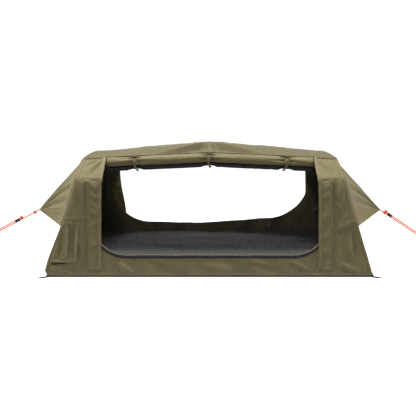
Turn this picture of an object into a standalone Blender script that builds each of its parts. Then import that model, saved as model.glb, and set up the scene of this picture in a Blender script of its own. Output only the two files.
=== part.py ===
"""A swag bedroll: a one-person canvas tent with its own mattress, set up with both doors rolled.

Metres, +Z up. X is the length, the front door faces -Y, and the origin is at the middle of
the underside. Every canvas panel is a grid laid on one arch: a point of the skin is given by
its place along the length and its run, the distance up and over the arch from the front base.
"""
from collections import namedtuple
from math import atan, atan2, cos, exp, pi, radians, sin, sqrt

import bmesh
import bpy
from mathutils import Matrix, Vector

# The tent's main sizes
BASE_LENGTH = 2.15
BASE_WIDTH = 1.10
HOOP_HEIGHT = 0.788
ROOF_LENGTH = 1.672
RIDGE_RISE = 0.076
SHOULDER_SLOPE = 0.158
SHOULDER_BEND = 0.055
LEG_LEAN = radians(3.2)
SLOPE_LEAN = radians(45.0)
CLOTH = 0.002
GAP = 0.0003

# Floor tub and mattress
FLOOR_THICK = 0.003
LIP_THICK = 0.0025
LIP_HEIGHT = 0.013
MATTRESS_END_ROOM = 0.0825
MATTRESS_SIDE_ROOM = 0.05
MATTRESS_SIDE = 0.135
MATTRESS_CROWN = 0.016
MATTRESS_DRAWN_IN = 0.012
MATTRESS_ROUND = 0.022

# Door openings, the same in the front and the rear wall but for the sill
DOOR_MARGIN = 0.066
FRONT_SILL = 0.146
REAR_SILL = 0.19
FRONT_DOOR_RADIUS = 0.22
REAR_DOOR_RADIUS = 0.30
LAPEL_LAP = 0.068
LAPEL_DROP = 0.019
LAPEL_SWEEP = 0.018

# Zips
ZIP_THICK = 0.0012
ZIP_WIDTH = 0.017
ZIP_LAP = 0.005
ZIP_TOP_ROOM = 0.010
SLIDER_LENGTH = 0.016
SLIDER_WIDTH = 0.011
SLIDER_THICK = 0.0035
PULL_LENGTH = 0.024
PULL_WIDTH = 0.005
PULL_THICK = 0.0015
SLIDER_ROOM = 0.05

# Storm flaps and port flap
FLAP_SEAM = 0.032
FLAP_LAP = 0.058
FLAP_LOW = 0.05
FLAP_TOP_ROOM = 0.006
PORT_ROOM_TOP = 0.053
PORT_ROOM_LOW = 0.066
PORT_WIDTH_TOP = 0.09
PORT_WIDTH_LOW = 0.154
PORT_LOW = 0.098
PORT_HIGH = 0.362

# Poles and their fittings
POLE_RADIUS = 0.0055
FITTING_WALL = 0.0036
FITTING_LENGTH = 0.062
SOCKET_LENGTH = 0.042
SOCKET_DEPTH = 0.026

# End walls, vents and hoods
VENT_WIDTH = 0.36
VENT_HEIGHT = 0.18
VENT_DROP = 0.188
VENT_LAP = 0.014
MESH_THICK = 0.0008
HOOD_REACH = 0.153
HOOD_TIP_Z = 0.374
HOOD_TIP_HALF = 0.03
HOOD_LOW = 0.338

# Main folds of the roof, from the peak down to the eaves, and of the hoods, from tip to hoop
FOLD_TOP_X = 0.06
FOLD_FOOT_X = 0.40
FOLD_DEPTH = 0.012
FOLD_WIDTH = 0.055
HOOD_FOLD = 0.005
HOOD_WAVES = 5

# Rolled doors, their ties and toggles
ROLL_RADIUS = 0.033
ROLL_END_ROOM = 0.018
MESH_ROLL_RADIUS = 0.0205
MESH_ROLL_ANGLE = radians(-57.0)
TIE_PINCH = 0.0045
TIE_REACH = 0.05
TIE_WIDTH = 0.016
TIE_THICK = 0.0014
TIE_PLACES = (-0.50, -0.008, 0.51)
TOGGLE_LENGTH = 0.034
TOGGLE_RADIUS = 0.0045
TOGGLE_WAIST = 0.0033
TOGGLE_ANGLE = radians(50.0)

# Peg tabs and rings
TAB_WIDTH = 0.03
TAB_LENGTH = 0.034
TAB_THICK = 0.002
RING_WIRE = 0.002
RING_HALF = 0.0155
RING_REACH = 0.021
SLEEVE_WALL = 0.0016
SLEEVE_LENGTH = 0.022
END_TAB_Y = -0.13
END_TAB_LENGTH = 0.036
END_TAB_WIDTH = 0.025
END_TAB_EYE = 0.005

# Guy ropes and tensioners
ROPE_RADIUS = 0.003
LEFT_ROPE_FALL = 0.532
RIGHT_ROPE_FALL = 0.67
LEFT_ROPE_REACH = 0.44
RIGHT_ROPE_REACH = 0.45
LEFT_TENSIONER = 0.185
RIGHT_TENSIONER = 0.085
STRAND_GAP = 0.012
EYE_RADIUS = 0.013
EYE_START = radians(-20.0)
EYE_TURN = radians(220.0)
TENSIONER_LENGTH = 0.036
TENSIONER_WIDTH = 0.024
TENSIONER_THICK = 0.011
BORE_CLEARANCE = 0.0004

# Counts of faces and points
BEND_STEPS = 3
HOOP_SIDES = 3
ROLL_POINTS = 41
ROLL_SIDES = 12
TIE_SIDES = 28
RING_STEPS = 14
EYE_STEPS = 10
ROPE_STEPS = 12
DOOR_ARC_STEPS = 6

# What follows from the sizes above
HALF_LENGTH = BASE_LENGTH / 2
HALF_WIDTH = BASE_WIDTH / 2
ROOF_HALF = ROOF_LENGTH / 2
END_LEAN = atan((HALF_LENGTH - ROOF_HALF) / HOOP_HEIGHT)
SHOULDER_RISE = SHOULDER_SLOPE * cos(SLOPE_LEAN) + SHOULDER_BEND * (1 - sin(LEG_LEAN))
LEG_RUN = (HOOP_HEIGHT - SHOULDER_RISE) / cos(LEG_LEAN)
SLOPE_START = LEG_RUN + SHOULDER_BEND * (SLOPE_LEAN - LEG_LEAN)
EAVE_RUN = SLOPE_START + SHOULDER_SLOPE
SHOULDER_END = EAVE_RUN + SHOULDER_BEND * (pi / 2 - SLOPE_LEAN)
SHOULDER_REACH = (LEG_RUN * sin(LEG_LEAN) + SHOULDER_BEND * cos(LEG_LEAN)
                  + SHOULDER_SLOPE * sin(SLOPE_LEAN))
CROWN_HALF = HALF_WIDTH - SHOULDER_REACH
CREST_RUN = SHOULDER_END + CROWN_HALF
SECTION = ((LEG_RUN, LEG_LEAN, LEG_LEAN), (SLOPE_START, LEG_LEAN, SLOPE_LEAN),
           (EAVE_RUN, SLOPE_LEAN, SLOPE_LEAN), (SHOULDER_END, SLOPE_LEAN, pi / 2),
           (CREST_RUN, pi / 2, pi / 2))
WALL_FOOT = FLOOR_THICK + GAP
MATTRESS_LENGTH = BASE_LENGTH - 2 * MATTRESS_END_ROOM
MATTRESS_WIDTH = BASE_WIDTH - 2 * MATTRESS_SIDE_ROOM
DOOR_HALF = ROOF_HALF - DOOR_MARGIN
LAPEL_HALF = DOOR_HALF - LAPEL_LAP
LAPEL_LOW = LEG_RUN - LAPEL_DROP
FLAP_HINGE = DOOR_HALF + FLAP_SEAM
FLAP_EDGE = DOOR_HALF - FLAP_LAP
FLAP_HIGH = LAPEL_LOW - FLAP_TOP_ROOM
ZIP_TOP = FLAP_HIGH - ZIP_TOP_ROOM
ROLL_HALF = LAPEL_HALF - ROLL_END_ROOM
PORT_INNER_TOP = FLAP_HINGE + PORT_ROOM_TOP
PORT_INNER_LOW = FLAP_HINGE + PORT_ROOM_LOW
PORT_OUTER_TOP = PORT_INNER_TOP + PORT_WIDTH_TOP
PORT_OUTER_LOW = PORT_INNER_LOW + PORT_WIDTH_LOW
VENT_HIGH = HOOP_HEIGHT - VENT_DROP
VENT_LOW = VENT_HIGH - VENT_HEIGHT
HOOD_TIP_X = HALF_LENGTH + HOOD_REACH
FITTING_RADIUS = POLE_RADIUS + GAP + FITTING_WALL
POLE_DEPTH = CLOTH + GAP + FITTING_RADIUS

Side = namedtuple("Side", "name sign sill radius")
FRONT = Side("front", -1, FRONT_SILL, FRONT_DOOR_RADIUS)
REAR = Side("rear", 1, REAR_SILL, REAR_DOOR_RADIUS)
SIDES = (FRONT, REAR)
End = namedtuple("End", "name sign")
ENDS = (End("left", -1), End("right", 1))


def clear_scene():
    """Remove whatever the file opened with."""
    for item in list(bpy.data.objects):
        bpy.data.objects.remove(item, do_unlink=True)


def new_collection(name):
    """Make a collection in the scene."""
    collection = bpy.data.collections.new(name)
    bpy.context.scene.collection.children.link(collection)
    return collection


def finish(name, colour, roughness, metallic=0.0):
    """Make a plain material of one colour."""
    material = bpy.data.materials.new(name)
    material.use_nodes = True
    shader = material.node_tree.nodes["Principled BSDF"]
    shader.inputs["Base Color"].default_value = (*colour, 1.0)
    shader.inputs["Roughness"].default_value = roughness
    shader.inputs["Metallic"].default_value = metallic
    return material


def place_object(name, mesh, material, pivot=None):
    """Put a mesh made in world places into the parts collection, its origin at the pivot."""
    part = bpy.data.objects.new(name, mesh)
    mesh.materials.clear()
    mesh.materials.append(material.copy())
    mesh.materials[0].name = f"{name}_{material.name}"
    if pivot is not None:
        mesh.transform(Matrix.Translation(-Vector(pivot)))
        part.location = pivot
    PARTS.objects.link(part)
    return part


def mesh_of(name, make):
    """Fill a new mesh through bmesh."""
    mesh = bpy.data.meshes.new(name)
    build = bmesh.new()
    make(build)
    build.to_mesh(mesh)
    build.free()
    return mesh


def box_mesh(name, low, high):
    """A box between two corners."""
    def make(build):
        bmesh.ops.create_cube(build, size=2)
        for vert in build.verts:
            vert.co = [b if k > 0 else a for a, b, k in zip(low, high, vert.co)]
    return mesh_of(name, make)


def rod_mesh(name, start, end, radius, sides=16):
    """A round bar between two points."""
    def make(build):
        a, b = Vector(start), Vector(end)
        turn = Vector((0, 0, 1)).rotation_difference(b - a).to_matrix().to_4x4()
        bmesh.ops.create_cone(
            build, cap_ends=True, segments=sides, radius1=radius, radius2=radius,
            depth=(b - a).length, matrix=Matrix.Translation((a + b) / 2) @ turn)
    return mesh_of(name, make)


def tube_mesh(name, points, radius, resolution=2, cyclic=False, shares=None):
    """A closed mesh of a curve with a round section."""
    curve = bpy.data.curves.new(name, "CURVE")
    curve.dimensions = "3D"
    curve.bevel_depth = radius
    curve.bevel_resolution = resolution
    curve.use_fill_caps = True
    spline = curve.splines.new("POLY")
    spline.points.add(len(points) - 1)
    for index, point in enumerate(points):
        spline.points[index].co = (*point, 1)
        spline.points[index].radius = shares[index] if shares else 1
    spline.use_cyclic_u = cyclic
    holder = bpy.data.objects.new(name, curve)
    bpy.context.scene.collection.objects.link(holder)
    view = bpy.context.evaluated_depsgraph_get()
    mesh = bpy.data.meshes.new_from_object(holder.evaluated_get(view))
    bpy.data.objects.remove(holder)
    weld(mesh)
    return mesh


def weld(mesh):
    """Close the loose caps of a curve's mesh."""
    build = bmesh.new()
    build.from_mesh(mesh)
    bmesh.ops.remove_doubles(build, verts=build.verts, dist=GAP / 10)
    bmesh.ops.recalc_face_normals(build, faces=build.faces)
    build.to_mesh(mesh)
    build.free()


def plate_mesh(name, points, thick, place):
    """A flat outline in two directions, given a thickness and put at its place."""
    curve = bpy.data.curves.new(name, "CURVE")
    curve.dimensions = "2D"
    curve.fill_mode = "BOTH"
    curve.extrude = thick / 2
    spline = curve.splines.new("POLY")
    spline.points.add(len(points) - 1)
    for index, point in enumerate(points):
        spline.points[index].co = (*point, 0, 1)
    spline.use_cyclic_u = True
    holder = bpy.data.objects.new(name, curve)
    bpy.context.scene.collection.objects.link(holder)
    view = bpy.context.evaluated_depsgraph_get()
    mesh = bpy.data.meshes.new_from_object(holder.evaluated_get(view))
    bpy.data.objects.remove(holder)
    weld(mesh)
    mesh.transform(place)
    return mesh


def solidify(part, thickness):
    """Give a middle surface its thickness, half to each side."""
    shell = part.modifiers.new("cloth", "SOLIDIFY")
    shell.thickness = thickness
    shell.offset = 0
    shell.use_even_offset = True


def panel(name, columns, rows, place, thickness, material, pivot=None):
    """A grid whose share across and share up are put in place by a formula, then thickened."""
    def make(build):
        bmesh.ops.create_grid(build, x_segments=columns, y_segments=rows, size=1)
        for vert in build.verts:
            vert.co = place((vert.co.x + 1) / 2, (vert.co.y + 1) / 2)
    part = place_object(name, mesh_of(name, make), material, pivot)
    solidify(part, thickness)
    return part


def cutter(name, mesh):
    """A shape that only cuts or joins."""
    tool = bpy.data.objects.new(name, mesh)
    tool.hide_render = True
    tool.display_type = "WIRE"
    CUTTERS.objects.link(tool)
    return tool


def boolean(part, tool, operation="DIFFERENCE"):
    """Cut a part with a tool, or join the tool to it. The tool turns with the part's origin."""
    tool.data.transform(Matrix.Translation(-part.location))
    tool.location = part.location
    step = part.modifiers.new(tool.name, "BOOLEAN")
    step.operation = operation
    step.object = tool
    step.solver = "EXACT"


def bevel(part, width, segments=1, angle=radians(50)):
    """Round a part's sharp edges."""
    step = part.modifiers.new("edge", "BEVEL")
    step.width = width
    step.segments = segments
    step.limit_method = "ANGLE"
    step.angle_limit = angle


def smooth(part, angle=radians(35)):
    """Shade a round piece smooth but for its sharp edges."""
    part.data.shade_smooth()
    part.data.set_sharp_from_angle(angle=angle)


def arch(run, offset=0.0):
    """The arch's section: front is negative y. The offset is outwards from the skin's face.

    The section is a leaning leg, a bend, a sloping shoulder, a bend and the flat crown. Each
    stretch is given by the run at its end and by its lean at its start and its end.
    """
    if run > CREST_RUN:
        y, z = arch(2 * CREST_RUN - run, offset)
        return -y, z
    y, z, start = -HALF_WIDTH, 0.0, 0.0
    for stop, lean, next_lean in SECTION:
        way = min(run, stop) - start
        turn = lean + (next_lean - lean) * way / (stop - start)
        if next_lean > lean:
            y += SHOULDER_BEND * (cos(lean) - cos(turn))
            z += SHOULDER_BEND * (sin(turn) - sin(lean))
        else:
            y += way * sin(lean)
            z += way * cos(lean)
        if run <= stop:
            break
        start = stop
    return y - offset * cos(turn), z + offset * sin(turn)


def end_x(z):
    """How far out the leaning end plane lies at a height."""
    return HALF_LENGTH - z * tan_of(END_LEAN)


def tan_of(angle):
    """Slope of an angle."""
    return sin(angle) / cos(angle)


def roof_rise(x, run):
    """How much higher the skin stands than the end arches, over the ridge pole."""
    run = min(run, 2 * CREST_RUN - run)
    inward = max(0.0, 1 - abs(x) / ROOF_HALF)
    upward = min(1.0, max(0.0, (run - LEG_RUN) / (CREST_RUN - LEG_RUN)))
    return RIDGE_RISE * inward * sin(upward * pi / 2)


def roof_fold(x, run):
    """How far the main folds sink the roof between the ridge and an eave."""
    run = min(run, 2 * CREST_RUN - run)
    way_share = (CREST_RUN - run) / (CREST_RUN - EAVE_RUN)
    if not 0 < way_share < 1:
        return 0.0
    middle = FOLD_TOP_X + (FOLD_FOOT_X - FOLD_TOP_X) * way_share
    aside = (abs(x) - middle) / (FOLD_WIDTH * (1 + way_share))
    return FOLD_DEPTH * sin(pi * way_share) ** 2 * exp(-aside ** 2)


def skin_point(x, run, offset=0.0, sign=-1):
    """A point of the skin. Sign -1 is the front half, 1 the rear half."""
    y, z = arch(run, offset)
    return Vector((x, -sign * y, z + roof_rise(x, run)))


def shoulder_runs(stop):
    """Runs where the shoulder's rows lie, up to a run. All pieces bend at the same ones."""
    steps = [k / BEND_STEPS for k in range(BEND_STEPS + 1)]
    runs = [LEG_RUN + (SLOPE_START - LEG_RUN) * step for step in steps]
    runs += [(SLOPE_START + EAVE_RUN) / 2]
    runs += [EAVE_RUN + (SHOULDER_END - EAVE_RUN) * step for step in steps]
    return [run for run in runs if run <= stop + GAP]


def make_floor():
    """The waterproof tub that everything stands in."""
    reach_x = HALF_LENGTH + GAP + LIP_THICK
    reach_y = HALF_WIDTH + GAP + LIP_THICK
    mesh = box_mesh("floor_tub", (-reach_x, -reach_y, 0), (reach_x, reach_y, LIP_HEIGHT))
    tub = place_object("floor_tub", mesh, BLACK_PVC)
    step = tub.modifiers.new("corners", "BEVEL")
    step.width = LIP_THICK
    step.segments = 3
    step.limit_method = "WEIGHT"
    weight = mesh.attributes.new("bevel_weight_edge", "FLOAT", "EDGE")
    for edge in mesh.edges:
        a, b = (mesh.vertices[index].co for index in edge.vertices)
        weight.data[edge.index].value = 1.0 if abs(a.z - b.z) > LIP_HEIGHT / 2 else 0.0
    hollow = box_mesh(
        "tub_hollow", (-reach_x + LIP_THICK, -reach_y + LIP_THICK, FLOOR_THICK),
        (reach_x - LIP_THICK, reach_y - LIP_THICK, LIP_HEIGHT * 2))
    boolean(tub, cutter("tub_hollow", hollow))


def make_mattress():
    """The mattress: crowned on top, its long and short sides drawn in between the corners."""
    steps = 8

    def make(build):
        bmesh.ops.create_cube(build, size=2)
        bmesh.ops.subdivide_edges(build, edges=build.edges, cuts=steps - 1, use_grid_fill=True)
        for vert in build.verts:
            u, v, w = vert.co
            half_x = MATTRESS_LENGTH / 2 - MATTRESS_DRAWN_IN * (1 - v * v) * (1 - w * w)
            half_y = MATTRESS_WIDTH / 2 - MATTRESS_DRAWN_IN * (1 - u * u) * (1 - w * w)
            top = MATTRESS_CROWN * (1 - u ** 4) * (1 - v ** 4) * max(0.0, w)
            height = (w + 1) / 2 * MATTRESS_SIDE + top
            vert.co = (u * half_x, v * half_y, WALL_FOOT + height)
    pad = place_object("mattress", mesh_of("mattress", make), GREY_FABRIC)
    bevel(pad, MATTRESS_ROUND, 3, radians(60))
    smooth(pad)


def opening_edge(side, run):
    """Half width of the corner panel's inner edge at a run."""
    foot = DOOR_HALF - side.radius
    if run <= side.sill:
        return foot
    if run < side.sill + side.radius:
        return foot + sqrt(side.radius ** 2 - (side.sill + side.radius - run) ** 2)
    sweep = min(1.0, max(0.0, (run - LAPEL_LOW) / LAPEL_SWEEP))
    return DOOR_HALF + (LAPEL_HALF - DOOR_HALF) * (1 - cos(sweep * pi)) / 2


def corner_runs(side):
    """Runs of a corner panel's rows: the foot, the sill, round the door's corner, the shoulder."""
    turns = [pi / 2 * k / DOOR_ARC_STEPS for k in range(1, DOOR_ARC_STEPS + 1)]
    arc = [side.sill + side.radius * (1 - cos(turn)) for turn in turns]
    lapel = [LAPEL_LOW + LAPEL_SWEEP * k / 3 for k in range(3)]
    middle = (arc[-1] + lapel[0]) / 2
    runs = [WALL_FOOT, side.sill / 2, side.sill, *arc, middle, *lapel, LAPEL_LOW + LAPEL_SWEEP]
    return sorted([*runs, *shoulder_runs(EAVE_RUN)[:-1], EAVE_RUN - GAP])


def make_corner_panel(side, end):
    """The canvas beside a door, from the floor to the eave and out to the end hoop."""
    runs = corner_runs(side)

    def place(across, up):
        run = runs[round(up * (len(runs) - 1))]
        inner = opening_edge(side, run)
        outer = end_x(arch(run)[1])
        return skin_point(end.sign * (inner + (outer - inner) * across), run, -CLOTH / 2, side.sign)
    panel(f"{side.name}_{end.name}_corner_panel", 4, len(runs) - 1, place, CLOTH, CANVAS)


def make_sill(side):
    """The low wall under a door."""
    half = DOOR_HALF - side.radius - GAP

    def place(across, up):
        run = WALL_FOOT + (side.sill - WALL_FOOT) * up
        return skin_point((across * 2 - 1) * half, run, -CLOTH / 2, side.sign)
    panel(f"{side.name}_sill_panel", 8, 3, place, CLOTH, CANVAS)


def make_roof():
    """The roof, from eave to eave over the ridge pole."""
    level = 6
    half = [run for run in shoulder_runs(SHOULDER_END) if run >= EAVE_RUN]
    half += [SHOULDER_END + CROWN_HALF * k / level for k in range(1, level)]
    runs = [*half, CREST_RUN, *[2 * CREST_RUN - run for run in reversed(half)]]

    def place(across, up):
        run = runs[round(up * (len(runs) - 1))]
        outer = end_x(arch(run)[1])
        x = (across * 2 - 1) * outer
        y, z = arch(run, -CLOTH / 2)
        return Vector((x, y, z + roof_rise(x, run) - roof_fold(x, run)))
    panel("roof_panel", 28, len(runs) - 1, place, CLOTH, PALE_CANVAS)


def door_edge(side, share, out):
    """A point beside the door's edge, by its share of the way round, left top to right top."""
    straight = ZIP_TOP - side.sill - side.radius
    quarter = side.radius * pi / 2
    bottom = 2 * (DOOR_HALF - side.radius)
    way = share * (2 * straight + 2 * quarter + bottom)
    if way > straight + quarter + bottom / 2:
        x, run = door_edge(side, 1 - share, out)
        return -x, run
    if way <= straight:
        return -DOOR_HALF - out, ZIP_TOP - way
    if way <= straight + quarter:
        turn = (way - straight) / side.radius
        reach = side.radius + out
        centre = DOOR_HALF - side.radius
        return -centre - reach * cos(turn), side.sill + side.radius - reach * sin(turn)
    return -DOOR_HALF + side.radius + (way - straight - quarter), side.sill - out


def make_zip(side):
    """The zip's tape and teeth, down both sides of the door and along its sill."""
    def place(along, across):
        x, run = door_edge(side, along, ZIP_LAP + ZIP_WIDTH * across)
        return skin_point(x, run, GAP + ZIP_THICK / 2, side.sign)
    panel(f"{side.name}_zip_track", 60, 1, place, ZIP_THICK, BLACK_TAPE)


def make_slider(side):
    """The zip's slider and pull, which run along the sill."""
    run = side.sill - ZIP_LAP - ZIP_WIDTH / 2
    offset = GAP + ZIP_THICK + GAP
    start = DOOR_HALF - side.radius - SLIDER_ROOM
    centre = skin_point(-start, run, offset + SLIDER_THICK / 2, side.sign)
    tilt = Matrix.Rotation(side.sign * LEG_LEAN, 4, "X")
    name = f"{side.name}_zip_slider"

    def block(label, size, shift):
        half = [value / 2 for value in size]
        mesh = box_mesh(label, [-h for h in half], half)
        mesh.transform(Matrix.Translation(centre) @ tilt @ Matrix.Translation(shift))
        return mesh
    body = block(name, (SLIDER_LENGTH, SLIDER_THICK, SLIDER_WIDTH), (0, 0, 0))
    slider = place_object(name, body, GREY_METAL, centre)
    out = side.sign * (SLIDER_THICK / 2 + PULL_THICK / 2 - GAP)
    drop = -PULL_LENGTH / 2 + SLIDER_WIDTH / 4
    pull = block(f"{side.name}_zip_pull", (PULL_WIDTH, PULL_THICK, PULL_LENGTH), (0, out, drop))
    boolean(slider, cutter(f"{side.name}_zip_pull", pull), "UNION")


def make_storm_flap(side, end):
    """The flap that covers a door's zip. It hinges on its outer seam."""
    offset = GAP + ZIP_THICK + GAP + CLOTH / 2

    def place(across, up):
        x = FLAP_HINGE + (FLAP_EDGE - FLAP_HINGE) * across
        return skin_point(end.sign * x, FLAP_LOW + (FLAP_HIGH - FLAP_LOW) * up, offset, side.sign)
    pivot = skin_point(end.sign * FLAP_HINGE, FLAP_LOW, offset, side.sign)
    panel(f"{side.name}_{end.name}_storm_flap", 2, 6, place, CLOTH, CANVAS, pivot)


def make_port_flap():
    """The flap over the lead port at the front left, hinged along its top."""
    offset = GAP + CLOTH / 2

    def place(across, up):
        inner = PORT_INNER_LOW + (PORT_INNER_TOP - PORT_INNER_LOW) * up
        outer = PORT_OUTER_LOW + (PORT_OUTER_TOP - PORT_OUTER_LOW) * up
        run = PORT_LOW + (PORT_HIGH - PORT_LOW) * up
        return skin_point(-inner - (outer - inner) * across, run, offset)
    pivot = skin_point(-PORT_INNER_TOP, PORT_HIGH, offset)
    panel("port_flap", 3, 4, place, CLOTH, CANVAS, pivot)


def end_point(end, y, z, depth):
    """A point of an end plane, by its depth behind the plane."""
    return Vector((end.sign * (end_x(z) - depth / cos(END_LEAN)), y, z))


def make_end_wall(end):
    """The leaning wall at an end, with its vent window."""
    inset = -(CLOTH + GAP)
    runs = [WALL_FOOT, HOOD_LOW, *shoulder_runs(SHOULDER_END)]

    def place(across, up):
        y, z = arch(runs[round(up * (len(runs) - 1))], inset)
        return end_point(end, y * (1 - across * 2), max(z, WALL_FOOT + CLOTH * sin(END_LEAN)), CLOTH / 2)
    wall = panel(f"{end.name}_end_wall", 6, len(runs) - 1, place, CLOTH, CANVAS)
    reach = BASE_WIDTH
    low = (end.sign * (ROOF_HALF - reach), -VENT_WIDTH / 2, VENT_LOW)
    high = (end.sign * (ROOF_HALF + reach), VENT_WIDTH / 2, VENT_HIGH)
    window = box_mesh(f"{end.name}_window", [min(a, b) for a, b in zip(low, high)],
                      [max(a, b) for a, b in zip(low, high)])
    boolean(wall, cutter(f"{end.name}_window", window))

    def mesh_place(across, up):
        y = (across - 1 / 2) * (VENT_WIDTH + 2 * VENT_LAP)
        z = VENT_LOW - VENT_LAP + (VENT_HIGH - VENT_LOW + 2 * VENT_LAP) * up
        return end_point(end, y, z, CLOTH + GAP + MESH_THICK / 2)
    panel(f"{end.name}_vent_mesh", 4, 3, mesh_place, MESH_THICK, BLACK_MESH)


def make_hood(end):
    """The hood over an end vent, drawn out to a tip where the guy rope pulls."""
    rows = 8
    legs = 5
    leg = [HOOD_LOW + (LEG_RUN - HOOD_LOW) * k / legs for k in range(legs)]
    half = [*leg, *shoulder_runs(SHOULDER_END), (SHOULDER_END + CREST_RUN) / 2]
    runs = [*half, CREST_RUN, *[2 * CREST_RUN - run for run in reversed(half)]]

    def place(along, out):
        index = round(along * (len(runs) - 1))
        y, z = arch(runs[index], -CLOTH / 2)
        root = end_point(end, y, z, -(GAP + CLOTH / 2))
        tip_y = (along * 2 - 1) * HOOD_TIP_HALF
        tip = Vector((end.sign * HOOD_TIP_X, tip_y, HOOD_TIP_Z))
        away = Vector((0, y, z - HOOD_TIP_Z)).normalized()
        wave = sin(HOOD_WAVES * pi * along) ** 2 * sin(pi * out)
        return root.lerp(tip, out) - away * HOOD_FOLD * wave
    panel(f"{end.name}_hood", len(runs) - 1, rows, place, CLOTH, CANVAS)


def hoop_points(end):
    """Middle line of an end hoop, foot to foot."""
    foot = WALL_FOOT + POLE_RADIUS * sin(END_LEAN + LEG_LEAN)
    runs = [foot, LEG_RUN / 2, *shoulder_runs(SHOULDER_END)]
    runs += [2 * CREST_RUN - run for run in reversed(runs)]
    return [end_point(end, *arch(run, -POLE_DEPTH), POLE_DEPTH) for run in runs]


def ridge_point(x):
    """Middle line of the ridge pole."""
    slope = atan(RIDGE_RISE / ROOF_HALF)
    return Vector((x, 0, HOOP_HEIGHT + roof_rise(x, CREST_RUN) - POLE_DEPTH / cos(slope)))


def make_poles():
    """Two end hoops, two ridge pole halves with a ferrule, and the tees that join them."""
    for end in ENDS:
        hoop = tube_mesh(f"{end.name}_end_hoop", hoop_points(end), POLE_RADIUS, HOOP_SIDES)
        smooth(place_object(f"{end.name}_end_hoop", hoop, ALLOY))
        make_tee(end)
    for end in ENDS:
        make_ridge_pole(end)


def crown_of(end):
    """Where an end hoop's middle line passes over the middle of the tent."""
    return end_point(end, *arch(CREST_RUN, -POLE_DEPTH), POLE_DEPTH)


def ridge_way(end):
    """Unit direction of a ridge pole half, from its end to the middle of the tent."""
    return (ridge_point(0) - ridge_point(end.sign * ROOF_HALF)).normalized()


def make_tee(end):
    """The moulded tee that grips a hoop's crown and takes the ridge pole's end."""
    crown = crown_of(end)
    across = Vector((0, FITTING_LENGTH / 2, 0))
    name = f"{end.name}_crown_tee"
    tee = place_object(name, rod_mesh(name, crown - across, crown + across, FITTING_RADIUS), BLACK_PLASTIC)
    way = ridge_way(end)
    stub = rod_mesh(f"{name}_stub", crown, crown + way * SOCKET_LENGTH, FITTING_RADIUS)
    boolean(tee, cutter(f"{name}_stub", stub), "UNION")
    bore = rod_mesh(f"{name}_bore", crown - across * 2, crown + across * 2, POLE_RADIUS + GAP)
    boolean(tee, cutter(f"{name}_bore", bore))
    start = crown + way * (SOCKET_LENGTH - SOCKET_DEPTH)
    socket = rod_mesh(f"{name}_socket", start, start + way * SOCKET_LENGTH, POLE_RADIUS + GAP)
    boolean(tee, cutter(f"{name}_socket", socket))
    smooth(tee)


def make_ridge_pole(end):
    """Half of the ridge pole. The left half carries the bent ferrule that takes the right half."""
    way = ridge_way(end)
    name = f"{end.name}_ridge_pole"
    start = crown_of(end) + way * (SOCKET_LENGTH - SOCKET_DEPTH + GAP)
    middle = start + way * ((0 - start.x) / way.x)
    if end.sign > 0:
        stop = middle - way * (SOCKET_LENGTH - SOCKET_DEPTH + GAP)
        smooth(place_object(name, rod_mesh(name, start, stop, POLE_RADIUS), ALLOY))
        return
    other = ridge_way(ENDS[1])
    pole = place_object(name, rod_mesh(name, start, middle - way * POLE_RADIUS, POLE_RADIUS), ALLOY)
    bend = [middle - way * SOCKET_LENGTH, middle, middle - other * SOCKET_LENGTH]
    ferrule = tube_mesh(f"{name}_ferrule", bend, FITTING_RADIUS, HOOP_SIDES)
    boolean(pole, cutter(f"{name}_ferrule", ferrule), "UNION")
    deep = middle - other * (SOCKET_LENGTH - SOCKET_DEPTH)
    socket = rod_mesh(f"{name}_socket", deep, deep - other * SOCKET_LENGTH, POLE_RADIUS + GAP)
    boolean(pole, cutter(f"{name}_socket", socket))
    smooth(pole)


def roll_pinch(x):
    """How far a tie draws a roll in at a place along it."""
    near = min(abs(x - place) for place in TIE_PLACES)
    return TIE_PINCH * max(0.0, 1 - near / TIE_REACH) ** (1 / 2) if near < TIE_REACH else 0.0


def roll_centre(x, side, mesh_roll=False):
    """Middle line of a door roll, hung under its eave, or of the mesh roll behind it."""
    y, z = arch(EAVE_RUN, -CLOTH)
    z += roof_rise(x, EAVE_RUN) - GAP - ROLL_RADIUS
    if mesh_roll:
        reach = ROLL_RADIUS + GAP + MESH_ROLL_RADIUS
        y += reach * cos(MESH_ROLL_ANGLE)
        z += reach * sin(MESH_ROLL_ANGLE)
    return Vector((x, -side.sign * y, z))


def make_roll(side, mesh_roll):
    """A rolled door, pinched where its ties hold it."""
    radius = MESH_ROLL_RADIUS if mesh_roll else ROLL_RADIUS
    fabric = BLACK_MESH if mesh_roll else PALE_CANVAS
    name = f"{side.name}_mesh_roll" if mesh_roll else f"{side.name}_door_roll"
    places = [ROLL_HALF * (2 * k / (ROLL_POINTS - 1) - 1) for k in range(ROLL_POINTS)]
    places += [tie + TIE_WIDTH * half for tie in TIE_PLACES for half in (-1, 0, 1)]
    places.sort()
    points = [roll_centre(x, side, mesh_roll) for x in places]
    shares = [(radius - roll_pinch(x)) / radius for x in places]
    mesh = tube_mesh(name, points, radius, ROLL_SIDES // 2 - 2, shares=shares)
    smooth(place_object(name, mesh, fabric))


def tie_hull(turn, side, x):
    """A point of the strap's middle line round both rolls, by its outward direction."""
    out = Vector((0, cos(turn), sin(turn)))
    reach = GAP + TIE_THICK / 2 - TIE_PINCH + tie_swell(x)
    big = roll_centre(x, side) + out * (ROLL_RADIUS + reach)
    small = roll_centre(x, side, True) + out * (MESH_ROLL_RADIUS + reach)
    return big if big.dot(out) > small.dot(out) else small


def tie_swell(x):
    """Room for the roll to grow fat again within the strap's width."""
    return TIE_PINCH * (1 - (1 - TIE_WIDTH / TIE_REACH) ** (1 / 2)) + GAP


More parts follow.
